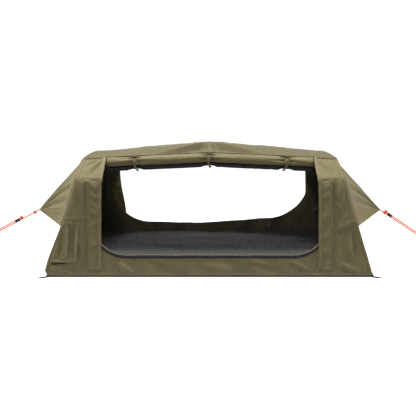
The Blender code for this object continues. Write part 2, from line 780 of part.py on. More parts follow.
def make_tie(side, index):
    """A strap round a door roll and its mesh roll."""
    x = TIE_PLACES[index]
    name = f"{side.name}_tie_{index + 1}"

    def make(build):
        bmesh.ops.create_cone(build, cap_ends=False, segments=TIE_SIDES, radius1=1, radius2=1, depth=1)
        for vert in build.verts:
            turn = atan2(vert.co.y, vert.co.x)
            vert.co = tie_hull(turn, side, x) + Vector((vert.co.z * TIE_WIDTH, 0, 0))
    strap = place_object(name, mesh_of(name, make), CANVAS)
    solidify(strap, TIE_THICK)


def toggle_place(side, x):
    """A toggle's centre and the outward direction at it."""
    out = Vector((0, side.sign * cos(TOGGLE_ANGLE), sin(TOGGLE_ANGLE)))
    strap = GAP + TIE_THICK + tie_swell(x) - TIE_PINCH
    return roll_centre(x, side) + out * (ROLL_RADIUS + strap + GAP + TOGGLE_RADIUS), out


def make_toggle(side, index):
    """A waisted toggle on the front of its strap. It turns about the line through the strap."""
    x = TIE_PLACES[index]
    name = f"{side.name}_toggle_{index + 1}"
    centre, _ = toggle_place(side, x)
    waist_share = TOGGLE_WAIST / TOGGLE_RADIUS
    end_shares = ((1, 0.62), (0.86, 0.9), (0.6, 1.0), (0.2, waist_share))
    profile_shares = [(-place, full) for place, full in end_shares] + list(reversed(end_shares))
    points = [centre + Vector((TOGGLE_LENGTH / 2 * place, 0, 0)) for place, _ in profile_shares]
    mesh = tube_mesh(name, points, TOGGLE_RADIUS, 3, shares=[full for _, full in profile_shares])
    smooth(place_object(name, mesh, BLACK_PLASTIC, centre))


def corner_turn(side, end):
    """Turn that takes +X to the outward diagonal at a corner of the floor."""
    return atan2(side.sign, end.sign)


def corner_place(side, end):
    """Frame of a corner tab: origin at the floor's corner, X outwards along the diagonal."""
    corner = Vector((end.sign * (HALF_LENGTH + GAP + LIP_THICK), side.sign * (HALF_WIDTH + GAP + LIP_THICK), 0))
    return Matrix.Translation(corner) @ Matrix.Rotation(corner_turn(side, end), 4, "Z")


def sleeve_radius():
    """Outer radius of the tab's hem round the ring's bar."""
    return RING_WIRE + GAP + SLEEVE_WALL


def ring_seat():
    """Middle of the ring's bar, in a corner tab's frame."""
    return Vector((TAB_LENGTH, 0, sleeve_radius() + GAP))


def make_corner_tab(side, end):
    """A webbing tab at a corner of the floor, with a hem that holds its ring."""
    name = f"{side.name}_{end.name}_corner_tab"
    half = TAB_WIDTH / 2
    notch = GAP * 2
    neck = SLEEVE_LENGTH / 2 - TAB_THICK / 2
    outline = ((notch, 0), (notch - half, half), (TAB_LENGTH / 2, half), (TAB_LENGTH, neck),
               (TAB_LENGTH, -neck), (TAB_LENGTH / 2, -half), (notch - half, -half))
    place = corner_place(side, end)
    lift = Matrix.Translation((0, 0, TAB_THICK / 2))
    tab = place_object(name, plate_mesh(name, outline, TAB_THICK, place @ lift), BLACK_WEB)
    radius = sleeve_radius()
    reach = Vector((0, SLEEVE_LENGTH / 2, 0))
    seat = ring_seat()
    hem = rod_mesh(f"{name}_hem", place @ (seat - reach), place @ (seat + reach), radius, 12)
    boolean(tab, cutter(f"{name}_hem", hem), "UNION")
    bore = rod_mesh(f"{name}_bore", place @ (seat - reach * 2), place @ (seat + reach * 2), RING_WIRE + GAP, 12)
    boolean(tab, cutter(f"{name}_bore", bore))


def make_ring(side, end):
    """A wire D-ring lying flat, its straight bar in the tab's hem."""
    name = f"{side.name}_{end.name}_peg_ring"
    seat = ring_seat()
    turns = [pi * k / RING_STEPS for k in range(1, RING_STEPS)]
    bow = [Vector((RING_REACH * sin(turn) + RING_WIRE / 2, RING_HALF * cos(turn), 0)) for turn in turns]
    ends = [Vector((0, RING_HALF, 0)), Vector((0, -RING_HALF, 0))]
    place = corner_place(side, end)
    points = [place @ (seat + point) for point in [ends[0], *bow, ends[1]]]
    mesh = tube_mesh(name, points, RING_WIRE, 1, cyclic=True)
    smooth(place_object(name, mesh, GREY_METAL, place @ seat))


def make_end_tab(end):
    """A webbing loop for a peg at the foot of an end wall."""
    name = f"{end.name}_end_tab"
    turn = Matrix.Rotation(0 if end.sign > 0 else pi, 4, "Z")
    root = Vector((end.sign * (HALF_LENGTH + GAP + LIP_THICK + GAP), END_TAB_Y, TAB_THICK / 2))
    half = END_TAB_WIDTH / 2
    outline = [(0, half), (0, -half)]
    outline += [(END_TAB_LENGTH - half + half * sin(pi * k / 8), -half * cos(pi * k / 8)) for k in range(9)]
    place = Matrix.Translation(root) @ turn
    tab = place_object(name, plate_mesh(name, outline, TAB_THICK, place), ORANGE_WEB)
    eye = Vector((END_TAB_LENGTH - half, 0, 0))
    lift = Vector((0, 0, TAB_THICK))
    hole = rod_mesh(f"{name}_eye", place @ (eye - lift), place @ (eye + lift), END_TAB_EYE)
    boolean(tab, cutter(f"{name}_eye", hole))


def rope_frame(end):
    """A rope's start, its outward direction and the upward direction from strand to strand."""
    fall = LEFT_ROPE_FALL if end.sign < 0 else RIGHT_ROPE_FALL
    tip = Vector((end.sign * HOOD_TIP_X, 0, HOOD_TIP_Z))
    out = Vector((end.sign, 0, -fall)).normalized()
    across = Vector((end.sign * fall, 0, 1)).normalized()
    return tip + out * (GAP + GAP), out, across


def make_rope(end):
    """A guy rope: one strand to its far eye and back along itself through the tensioner."""
    reach = LEFT_ROPE_REACH if end.sign < 0 else RIGHT_ROPE_REACH
    tensioner = LEFT_TENSIONER if end.sign < 0 else RIGHT_TENSIONER
    start, out, across = rope_frame(end)
    bend = reach - EYE_RADIUS
    neck = bend - 3 * EYE_RADIUS
    step = reach / ROPE_STEPS
    route = [(step * k, 0) for k in range(ROPE_STEPS) if step * k < neck]
    route += [(neck, 0), (bend - EYE_RADIUS, -EYE_RADIUS / 5)]
    middle = STRAND_GAP / 2
    route += [(bend + EYE_RADIUS * sin(turn), middle - EYE_RADIUS * cos(turn))
              for turn in [EYE_START + EYE_TURN * k / EYE_STEPS for k in range(EYE_STEPS + 1)]]
    route += [(bend - EYE_RADIUS, STRAND_GAP + EYE_RADIUS / 5), (neck, STRAND_GAP)]
    stop = tensioner - TENSIONER_LENGTH
    steps = max(2, round((neck - stop) / step))
    route += [(neck + (stop - neck) * k / steps, STRAND_GAP) for k in range(1, steps + 1)]
    points = [start + out * along + across * aside for along, aside in route]
    name = f"{end.name}_guy_rope"
    smooth(place_object(name, tube_mesh(name, points, ROPE_RADIUS, 2), ORANGE_ROPE))


def make_tensioner(end):
    """The plastic tensioner that both strands run through. It slides along the rope."""
    start, out, across = rope_frame(end)
    place = LEFT_TENSIONER if end.sign < 0 else RIGHT_TENSIONER
    name = f"{end.name}_tensioner"
    centre = start + out * place
    frame = Matrix((out, across, out.cross(across))).transposed().to_4x4()
    half = Vector((TENSIONER_LENGTH, TENSIONER_WIDTH, TENSIONER_THICK)) / 2
    shift = Vector((0, STRAND_GAP / 2, 0))
    mesh = box_mesh(name, shift - half, shift + half)
    mesh.transform(Matrix.Translation(centre) @ frame)
    block = place_object(name, mesh, BLACK_PLASTIC, centre)
    bevel(block, TENSIONER_THICK / 5, 2)
    for label, aside in (("standing", 0.0), ("return", STRAND_GAP)):
        line = centre + across * aside
        reach = out * TENSIONER_LENGTH
        bore = rod_mesh(f"{name}_{label}_bore", line - reach, line + reach, ROPE_RADIUS + BORE_CLEARANCE, 12)
        boolean(block, cutter(f"{name}_{label}_bore", bore))


clear_scene()
PARTS = new_collection("swag_bedroll")
CUTTERS = new_collection("cutters")
CANVAS = finish("olive_canvas", (0.125, 0.115, 0.062), 0.85)
PALE_CANVAS = finish("roof_canvas", (0.28, 0.24, 0.155), 0.85)
BLACK_PVC = finish("black_pvc", (0.012, 0.012, 0.013), 0.5)
BLACK_MESH = finish("black_mesh", (0.012, 0.015, 0.015), 0.8)
BLACK_TAPE = finish("zip_tape", (0.017, 0.018, 0.02), 0.7)
BLACK_WEB = finish("black_webbing", (0.012, 0.012, 0.013), 0.8)
BLACK_PLASTIC = finish("black_plastic", (0.01, 0.01, 0.011), 0.4)
GREY_FABRIC = finish("mattress_cover", (0.065, 0.06, 0.068), 0.9)
GREY_METAL = finish("steel", (0.45, 0.45, 0.46), 0.35, 1.0)
ALLOY = finish("alloy_pole", (0.55, 0.55, 0.57), 0.35, 1.0)
ORANGE_WEB = finish("orange_webbing", (0.70, 0.09, 0.01), 0.8)
ORANGE_ROPE = finish("orange_rope", (0.78, 0.05, 0.012), 0.7)

make_floor()
make_mattress()
make_roof()
make_poles()
make_port_flap()
for a_side in SIDES:
    make_sill(a_side)
    make_zip(a_side)
    make_slider(a_side)
    make_roll(a_side, False)
    make_roll(a_side, True)
    for number in range(len(TIE_PLACES)):
        make_tie(a_side, number)
        make_toggle(a_side, number)
    for an_end in ENDS:
        make_corner_panel(a_side, an_end)
        make_storm_flap(a_side, an_end)
        make_corner_tab(a_side, an_end)
        make_ring(a_side, an_end)
for an_end in ENDS:
    make_end_wall(an_end)
    make_hood(an_end)
    make_end_tab(an_end)
    make_rope(an_end)
    make_tensioner(an_end)
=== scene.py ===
"""Looks of a canvas swag bedroll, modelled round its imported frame.

Metres, +Z up. X is the length and the front door faces -Y. Every canvas panel is laid on one
skin: a point of it is given by its place along the length and its run, the distance up and over
the arch from the front base. Folds and ripples are heights on that skin, so a flap, a hem or a
row of stitches follows the cloth that carries it.
"""
from __future__ import annotations

import logging
import sys
from dataclasses import dataclass, field
from enum import Enum
from math import atan, cos, hypot, pi, radians, sin, sqrt, tan
from typing import Callable, NamedTuple, Protocol, Sequence

import bpy
import numpy as np
from mathutils import Matrix, Vector

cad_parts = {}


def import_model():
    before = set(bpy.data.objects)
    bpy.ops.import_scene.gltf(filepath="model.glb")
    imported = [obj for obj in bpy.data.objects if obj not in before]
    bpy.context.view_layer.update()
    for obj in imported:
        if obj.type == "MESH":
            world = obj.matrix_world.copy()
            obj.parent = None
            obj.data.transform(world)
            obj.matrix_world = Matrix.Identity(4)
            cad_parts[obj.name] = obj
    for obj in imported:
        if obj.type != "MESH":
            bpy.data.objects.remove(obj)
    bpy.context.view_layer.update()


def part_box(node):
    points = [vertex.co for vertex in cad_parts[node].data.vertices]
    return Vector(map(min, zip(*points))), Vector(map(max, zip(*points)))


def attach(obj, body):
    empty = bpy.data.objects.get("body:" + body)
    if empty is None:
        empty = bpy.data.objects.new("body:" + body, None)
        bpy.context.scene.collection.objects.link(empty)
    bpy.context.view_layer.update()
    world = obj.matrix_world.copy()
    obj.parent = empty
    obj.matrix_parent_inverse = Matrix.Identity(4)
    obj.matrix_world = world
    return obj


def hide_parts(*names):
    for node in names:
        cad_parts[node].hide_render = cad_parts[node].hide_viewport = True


LOG = logging.getLogger("swag_bedroll")
Array = np.ndarray
Spots = Callable[[Array, Array], Array]
Point = tuple[float, float, float]
Piece = bpy.types.Object
Material = bpy.types.Material
Tree = bpy.types.NodeTree
MIDDLE = (0.0, 0.0, 0.35)
CLOTH = 0.002
GAP = 0.0003
FOOT_LIFT = np.array([0.0, 0.024])


class Labelled(Enum):
    """A choice whose name is part of the pieces' names."""

    def __str__(self) -> str:
        """Name used in the pieces' names."""
        return self.name.lower()


class Side(Labelled):
    """The two long sides, by the sign of their Y."""

    FRONT = -1
    REAR = 1


class End(Labelled):
    """The two ends, by the sign of their X."""

    LEFT = -1
    RIGHT = 1


def step_up(low: float, high: float, value: Array) -> Array:
    """Rise smoothly from 0 at low to 1 at high."""
    share = np.clip((value - low) / (high - low), 0, 1)
    return share * share * (3 - 2 * share)


def coords(*parts: Array | float) -> Array:
    """Set coordinates side by side, one point a row."""
    return np.stack(np.broadcast_arrays(*parts), -1)


def travelled(path: Array) -> Array:
    """Find how far along a path each of its points lies."""
    return np.concatenate([[0], np.cumsum(np.linalg.norm(np.diff(path, axis=0), axis=1))])


def unit(ways: Array) -> Array:
    """Scale directions to a length of one."""
    return ways / np.linalg.norm(ways, axis=-1, keepdims=True)


def outwards(turn: Array, side: int = 1) -> Array:
    """Find directions round the length, by their turn up from the rear's or the front's outward one."""
    return coords(0.0, side * np.cos(turn), np.sin(turn))


@dataclass(frozen=True)
class Skin:
    """The canvas skin's shape: one arch section between two leaning ends, over a ridge pole."""

    base_length: float = 2.15
    base_width: float = 1.10
    hoop_height: float = 0.788
    roof_length: float = 1.672
    ridge_rise: float = 0.076
    slope: float = 0.158
    bend: float = 0.055
    leg_lean: float = radians(3.2)
    slope_lean: float = radians(45.0)
    floor: float = 0.0033
    fold_top: float = 0.06
    fold_foot: float = 0.40
    fold_depth: float = 0.004
    fold_width: float = 0.055
    left_slump: float = 0.025
    right_slump: float = 0.001
    slump_height: float = 0.085

    @property
    def end_lean(self) -> float:
        """Lean of the end walls."""
        return atan((self.base_length - self.roof_length) / 2 / self.hoop_height)

    @property
    def leg_run(self) -> float:
        """Run where the upright wall starts to bend."""
        rise = self.slope * cos(self.slope_lean) + self.bend * (1 - sin(self.leg_lean))
        return (self.hoop_height - rise) / cos(self.leg_lean)

    @property
    def slope_run(self) -> float:
        """Run where the sloping shoulder starts."""
        return self.leg_run + self.bend * (self.slope_lean - self.leg_lean)

    @property
    def eave_run(self) -> float:
        """Run where the shoulder meets the roof."""
        return self.slope_run + self.slope

    @property
    def crown_run(self) -> float:
        """Run where the flat crown starts."""
        return self.eave_run + self.bend * (pi / 2 - self.slope_lean)

    @property
    def crest_run(self) -> float:
        """Run at the middle of the crown."""
        reach = (self.leg_run * sin(self.leg_lean) + self.bend * cos(self.leg_lean)
                 + self.slope * sin(self.slope_lean))
        return self.crown_run + self.base_width / 2 - reach

    def section(self, run: Array, offset: Array | float = 0.0) -> tuple[Array, Array]:
        """Find points of the arch: a leg, a bend, a sloping shoulder and a slightly bowed crown.

        Args:
            run: Distances up and over the arch from the front base.
            offset: Distances outwards from the skin's face.

        Returns:
            The points' y, front negative, and their z.
        """
        run = np.asarray(run, float)
        over = run > self.crest_run
        way = np.where(over, 2 * self.crest_run - run, run)
        lean, steep = self.leg_lean, self.slope_lean
        leg = np.clip(way, None, self.leg_run)
        first = np.clip((way - self.leg_run) / self.bend, 0, steep - lean)
        slope = np.clip(way - self.slope_run, 0, self.slope)
        left = 1 - np.clip((way - self.eave_run) / (self.crest_run - self.eave_run), 0, 1)
        y = (leg * sin(lean) + self.bend * (cos(lean) - np.cos(lean + first)) + slope * sin(steep)
             - self.base_width / 2) * left
        z = (leg * cos(lean) + self.bend * (np.sin(lean + first) - sin(lean)) + slope * cos(steep)
             + self.bend * (1 - sin(steep)) * (1 - left ** 2))
        turn = lean + first + (pi / 2 - steep) * step_up(self.eave_run - 0.02, self.eave_run + 0.05, way)
        y, z = y - offset * np.cos(turn), z + offset * np.sin(turn)
        return np.where(over, -y, y), z

    def end_x(self, z: Array) -> Array:
        """Find how far out an end wall's face lies at a height."""
        return self.base_length / 2 - z * tan(self.end_lean)

    def reach(self, run: Array | float) -> Array:
        """Find how far out the skin ends at a run."""
        return self.end_x(self.section(run)[1])

    def rise(self, x: Array, run: Array) -> Array:
        """Find how much higher the ridge pole lifts the skin than the end arches."""
        way = np.minimum(run, 2 * self.crest_run - run)
        inward = np.clip(1 - np.abs(x) / (self.roof_length / 2), 0, None)
        upward = np.clip((way - self.leg_run) / (self.crest_run - self.leg_run), 0, 1)
        return self.ridge_rise * inward * np.sin(upward * pi / 2)

    def slump(self, points: Array) -> Array:
        """Let the slack canvas at the ends bulge out over the tub, most at the left.

        Args:
            points: Points on the skin, one a row.

        Returns:
            The points, moved along the length.
        """
        x, _, z = points.T
        reach = np.where(x < 0, self.left_slump, self.right_slump)
        low = np.exp(-((z - self.slump_height) / (self.slump_height * 2.6)) ** 2) * step_up(0.014, 0.045, z)
        points[:, 0] += np.sign(x) * reach * low * step_up(0.80, 1.04, np.abs(x))
        return points

    def valley(self, x: Array, run: Array) -> Array:
        """Find how far the roof's two main folds sink it between the ridge and an eave."""
        run = np.minimum(run, 2 * self.crest_run - run)
        share = np.clip((self.crest_run - run) / (self.crest_run - self.eave_run), 0, 1)
        middle = self.fold_top + (self.fold_foot - self.fold_top) * share
        aside = (np.abs(x) - middle) / (self.fold_width * (1 + share))
        return self.fold_depth * np.sin(pi * share) ** 2 * np.exp(-aside ** 2)


SKIN = Skin()


class Relief(Protocol):
    """Anything that gives cloth a height over two surface directions."""

    def height(self, a: Array, b: Array) -> Array:
        """Find the heights at surface places."""


@dataclass(frozen=True)
class Fold:
    """One fold in cloth, straight from a start to an end in the surface's two directions."""

    start: tuple[float, float]
    end: tuple[float, float]
    rise: float
    width: float
    flare: float = 0.0
    anchored: bool = False

    def height(self, a: Array, b: Array) -> Array:
        """Find the fold's height.

        Args:
            a: Places in the surface's first direction.
            b: Places in its second direction.

        Returns:
            Heights, negative in a valley.
        """
        along = (self.end[0] - self.start[0], self.end[1] - self.start[1])
        share = ((a - self.start[0]) * along[0] + (b - self.start[1]) * along[1])
        share = np.clip(share / (along[0] ** 2 + along[1] ** 2), 0, 1)
        aside_a = a - self.start[0] - along[0] * share
        aside_b = b - self.start[1] - along[1] * share
        width = self.width * (1 + self.flare * share)
        fade = 1 - share ** 2 if self.anchored else np.sin(pi * share) ** 0.7
        return self.rise * fade * np.exp(-(aside_a ** 2 + aside_b ** 2) / width ** 2)


@dataclass(frozen=True)
class Ripples:
    """Soft unevenness of cloth: a seeded sum of waves within a band of lengths and directions."""

    seed: int
    rise: float
    shortest: float
    longest: float
    bearing: float = 0.0
    spread: float = pi
    count: int = 16

    def height(self, a: Array, b: Array) -> Array:
        """Find the ripples' height.

        Args:
            a: Places in the surface's first direction.
            b: Places in its second direction.

        Returns:
            Heights on both sides of zero.
        """
        draw = np.random.default_rng(self.seed)
        total = np.zeros_like(np.asarray(a, float) + b)
        for _ in range(self.count):
            bearing = self.bearing + (draw.random() - 0.5) * self.spread
            wave = 2 * pi / (self.shortest + (self.longest - self.shortest) * draw.random())
            phase = draw.random() * 2 * pi
            total = total + np.sin(wave * (a * cos(bearing) + b * sin(bearing)) + phase)
        return total * self.rise / sqrt(self.count)


def summed(reliefs: Sequence[Relief], a: Array, b: Array) -> Array:
    """Add reliefs up at surface places."""
    total = np.zeros_like(np.asarray(a, float) + b)
    for relief in reliefs:
        total = total + relief.height(a, b)
    return total


def folds(*rows: tuple[float, ...]) -> tuple[Fold, ...]:
    """Make folds from rows: start, end, rise, width, and their flare and anchor if they have them."""
    return tuple(Fold((a, b), (c, d), *rest) for a, b, c, d, *rest in rows)


class Face(Protocol):
    """A surface that cloth, strips and stitches are laid on."""

    def at(self, a: Array, b: Array, offset: Array | float = 0.0) -> Array:
        """Find points of the surface, offset outwards."""


@dataclass(frozen=True)
class Wall:
    """One long side of the skin, from its base to its eave, or the roof, with its reliefs."""

    side: Side
    reliefs: tuple[Relief, ...] = ()
    pressed: tuple[Relief, ...] = ()
    sunk: bool = False
    edge_room: float = 0.07
    foot_room: float = 0.035
    eave_room: float = 0.05
    right_hitch: float = 0.042
    swell_rise: float = 0.0085
    swell_reach: float = 0.042
    seam_x: float = 0.802
    seam_half: float = 0.004
    seam_room: float = 0.045

    def hitch(self, x: Array, run: Array) -> Array:
        """Find how far the slack rear sill is hitched up towards the right."""
        low = step_up(0.03, 0.18, run) * (1 - step_up(0.22, 0.58, run))
        return self.right_hitch * low * (step_up(-0.15, 0.62, x) + 0.2 * step_up(0.1, 0.5, -x))

    def swell(self, x: Array, run: Array, end_x: Array) -> Array:
        """Find how far the wall rolls out beside its hoop, where the hood draws it round."""
        inward = np.clip((end_x - np.abs(x)) / self.swell_reach, 0, None)
        beside = step_up(0.26, 0.40, run) * (1 - step_up(0.58, 0.66, run))
        return self.swell_rise * inward * np.exp(1 - inward) * beside

    def held(self, x: Array, run: Array) -> Array:
        """Find the share of its folds that a place keeps: the storm flap's seam holds the wall flat."""
        aside = step_up(self.seam_half, self.seam_room, np.abs(np.abs(x) - self.seam_x))
        above = 1.0 if self.sunk else step_up(SKIN.leg_run, SKIN.leg_run + 0.03, run)
        return aside + (1 - aside) * above

    def at(self, x: Array, run: Array, offset: Array | float = 0.0) -> Array:
        """Find points of the wall.

        Args:
            x: Places along the length.
            run: Runs up the arch.
            offset: Distances outwards from the skin's face.

        Returns:
            Points, one a row.
        """
        x, run = np.broadcast_arrays(np.asarray(x, float), np.asarray(run, float))
        if self.side is Side.REAR and not self.sunk:
            run = run + self.hitch(x, run)
        _, level = SKIN.section(run)
        room = step_up(0, self.edge_room, SKIN.end_x(level) - np.abs(x))
        room = room * step_up(0, self.foot_room, run)
        near = np.abs(np.minimum(run, 2 * SKIN.crest_run - run) - SKIN.eave_run)
        room = room * step_up(0, self.eave_room, near)
        if self.sunk:
            room = room * step_up(0, self.eave_room, np.abs(run - SKIN.crest_run))
        lift = summed(self.reliefs, x, run) * room + self.swell(x, run, SKIN.end_x(level))
        lift = offset + lift * self.held(x, run) + summed(self.pressed, x, run)
        y, z = SKIN.section(run, lift)
        drop = SKIN.valley(x, run) if self.sunk else 0.0
        return SKIN.slump(coords(x, -self.side.value * y, z + SKIN.rise(x, run) - drop))


@dataclass(frozen=True)
class EndFace:
    """A leaning end plane. Its two directions are y and z."""

    end: End
    reliefs: tuple[Relief, ...] = ()

    def at(self, y: Array, z: Array, offset: Array | float = 0.0) -> Array:
        """Find points of the end plane, offset outwards."""
        y, z = np.broadcast_arrays(np.asarray(y, float), np.asarray(z, float))
        lift = offset + summed(self.reliefs, y, z)
        return SKIN.slump(coords(self.end.value * (SKIN.end_x(z) + lift / cos(SKIN.end_lean)), y, z))


def deselect() -> None:
    """Let nothing be selected, so that an operator touches only what comes next."""
    bpy.ops.object.select_all(action="DESELECT")


def activate(piece: Piece) -> None:
    """Make one object the only selected one and the active one."""
    deselect()
    piece.select_set(True)
    bpy.context.view_layer.objects.active = piece


def add_shape(operator: Callable[..., object], name: str, **values: object) -> Piece:
    """Add a primitive, its place and turn in its mesh.

    Args:
        operator: Blender's operator that adds it.
        name: Object's name.
        values: The operator's values.

    Returns:
        The object.
    """
    deselect()
    operator(**values)
    piece = bpy.context.object
    piece.name = piece.data.name = name
    bpy.ops.object.transform_apply(location=True, rotation=True, scale=True)
    return piece


def points_of(piece: Piece) -> Array:
    """Read a mesh's points, one a row."""
    flat = np.empty(len(piece.data.vertices) * 3)
    piece.data.vertices.foreach_get("co", flat)
    return flat.reshape(-1, 3)


def move_points(piece: Piece, points: Array) -> None:
    """Write a mesh's points."""
    piece.data.vertices.foreach_set("co", np.asarray(points, float).ravel())
    piece.data.update()


def apply_step(piece: Piece, kind: str, **values: object) -> None:
    """Add a modifier and apply it.

    Args:
        piece: Object that takes it.
        kind: Blender's name of the modifier.
        values: The modifier's settings.
    """
    activate(piece)
    step = piece.modifiers.new(kind.lower(), kind)
    for name, value in values.items():
        setattr(step, name, value)
    bpy.ops.object.modifier_apply(modifier=step.name)


def edit_all(piece: Piece, *steps: Callable[[], object]) -> None:
    """Run edit mode operators on a whole mesh."""
    activate(piece)
    bpy.ops.object.mode_set(mode="EDIT")
    bpy.ops.mesh.select_all(action="SELECT")
    for step in steps:
        step()
    bpy.ops.object.mode_set(mode="OBJECT")


def merge(piece: Piece, reach: float = 0.00001) -> None:
    """Close a mesh's seams and poles."""
    edit_all(piece, lambda: bpy.ops.mesh.remove_doubles(threshold=reach),
             lambda: bpy.ops.mesh.delete_loose())


def pick(piece: Piece, kind: str, test: Callable[[object], bool]) -> None:
    """Select the edges or faces that pass a test, and nothing else, and enter edit mode.

    Args:
        piece: Object to work on.
        kind: EDGE or FACE.
        test: Says whether an edge or a face is wanted.
    """
    activate(piece)
    bpy.ops.object.mode_set(mode="EDIT")
    bpy.ops.mesh.select_mode(type=kind)
    bpy.ops.mesh.select_all(action="DESELECT")
    bpy.ops.object.mode_set(mode="OBJECT")
    for part in piece.data.edges if kind == "EDGE" else piece.data.polygons:
        part.select = test(part)
    bpy.ops.object.mode_set(mode="EDIT")


def drop_faces(piece: Piece, test: Callable[[object], bool]) -> None:
    """Delete the faces that pass a test."""
    pick(piece, "FACE", test)
    bpy.ops.mesh.delete(type="FACE")
    bpy.ops.mesh.select_mode(type="VERT")
    bpy.ops.object.mode_set(mode="OBJECT")


def face_out(piece: Piece) -> None:
    """Point a closed mesh's faces outwards."""
    edit_all(piece, lambda: bpy.ops.mesh.normals_make_consistent(inside=False))


def unwrap(piece: Piece) -> None:
    """Give a piece a UV map in metres, from its six sides."""
    edit_all(piece, lambda: bpy.ops.uv.cube_project(cube_size=1.0))


def turn_out(piece: Piece, inside: Point) -> None:
    """Turn an open sheet's faces away from a point inside the tent."""
    total = 0.0
    middle = Vector(inside)
    for face in piece.data.polygons:
        total += face.normal.dot(face.center - middle) * face.area
    if total < 0:
        edit_all(piece, lambda: bpy.ops.mesh.flip_normals())


def grid(name: str, cells: tuple[int, int], place: Spots, metres: tuple[float, float] = (1.0, 1.0),
         chart: Spots | None = None) -> Piece:
    """Lay a grid by a formula.

    Args:
        name: Object's name.
        cells: Cells across and up.
        place: Gives points from the shares across and up.
        metres: Real size of the grid, for the weave's scale.
        chart: Gives each point's flat place instead, for a sheet that isn't a rectangle.

    Returns:
        The open sheet, with its UV map in metres.
    """
    sheet = add_shape(bpy.ops.mesh.primitive_grid_add, name, x_subdivisions=cells[0],
                      y_subdivisions=cells[1], size=2)
    shares = (points_of(sheet)[:, :2] + 1) / 2
    move_points(sheet, place(*shares.T))
    flat = chart(*shares.T) if chart else shares * metres
    corners = np.empty(len(sheet.data.loops), int)
    sheet.data.loops.foreach_get("vertex_index", corners)
    sheet.data.uv_layers.active.data.foreach_set("uv", flat[corners].ravel())
    return sheet


def dress(piece: Piece, *finishes: Material) -> Piece:
    """Give a piece its materials in order."""
    piece.data.materials.clear()
    for material in finishes:
        piece.data.materials.append(material)
    return piece


def smooth(piece: Piece, angle: float = radians(40)) -> Piece:
    """Shade a piece smooth but for its sharp edges."""
    activate(piece)
    bpy.ops.object.shade_smooth_by_angle(angle=angle)
    return piece


def join(base: Piece, extras: Sequence[Piece]) -> Piece:
    """Join sewn-on details to the piece that carries them."""
    activate(base)
    for extra in extras:
        extra.select_set(True)
    if extras:
        bpy.ops.object.join()
    return base


def thicken(sheet: Piece, finishes: Sequence[Material], thickness: float, inside: Point = MIDDLE) -> Piece:
    """Close an open sheet and finish it, its lining on the inner face.

    Args:
        sheet: The open sheet.
        finishes: Outer finish and, if it has one, the lining.
        thickness: Its thickness.
        inside: A point on the lining's side.

    Returns:
        The closed sheet.
    """
    turn_out(sheet, inside)
    dress(sheet, *finishes)
    apply_step(sheet, "SOLIDIFY", thickness=thickness, offset=0.0, material_offset=len(finishes) - 1)
    return smooth(sheet)


def panel_on(face: Face, name: str, cells: tuple[int, int], spots: Spots, offset: float,
             finishes: Sequence[Material], inside: Point = MIDDLE) -> Piece:
    """Make a panel of cloth that lies on a surface, its weave straight on it.

    Args:
        face: The surface.
        name: Object's name.
        cells: Cells across and up.
        spots: Gives the places on the surface from the shares across and up.
        offset: Distance of its middle off the face.
        finishes: Outer finish and, if it has one, the lining.
        inside: A point on the lining's side.

    Returns:
        The closed panel.
    """
    sheet = grid(name, cells, lambda u, v: face.at(*spots(u, v).T, offset), chart=spots)
    return thicken(sheet, finishes, CLOTH, inside)


class Band(NamedTuple):
    """A flat strip of cloth on a surface: its edges' places, and its middle's lift off the face."""

    low: Array
    high: Array
    lift: float
    thick: float
    finish: str = "canvas_hem"
    cells: int = 2


def strip(name: str, face: Face, palette: Palette, band: Band) -> Piece:
    """Lay a flat strip of cloth on a surface.

    Args:
        name: Object's name.
        face: Surface that carries it.
        palette: Every finish.
        band: The strip's places and sizes.

    Returns:
        The closed strip.
    """
    low, high = band.low, band.high
    count = len(low) - 1

    def place(along: Array, across: Array) -> Array:
        index = np.rint(along * count).astype(int)
        spot = low[index] + (high[index] - low[index]) * across[:, None]
        return face.at(*spot.T, band.lift + band.thick * 0.35 * np.sin(pi * across))
    metres = (float(travelled(face.at(*low.T))[-1]), float(np.linalg.norm(high[0] - low[0])))
    return thicken(grid(name, (count, band.cells), place, metres), (palette[band.finish],), band.thick)


def line(*spots: tuple[float, float], spacing: float = 0.012) -> Array:
    """Make a line through places on a surface, with points at a spacing."""
    rows = []
    for start, stop in zip(spots[:-1], spots[1:]):
        count = max(1, round(hypot(stop[0] - start[0], stop[1] - start[1]) / spacing))
        shares = np.arange(count)[:, None] / count
        rows.append(np.array(start) + (np.array(stop) - np.array(start)) * shares)
    return np.vstack([*rows, np.array(spots[-1])[None, :]])


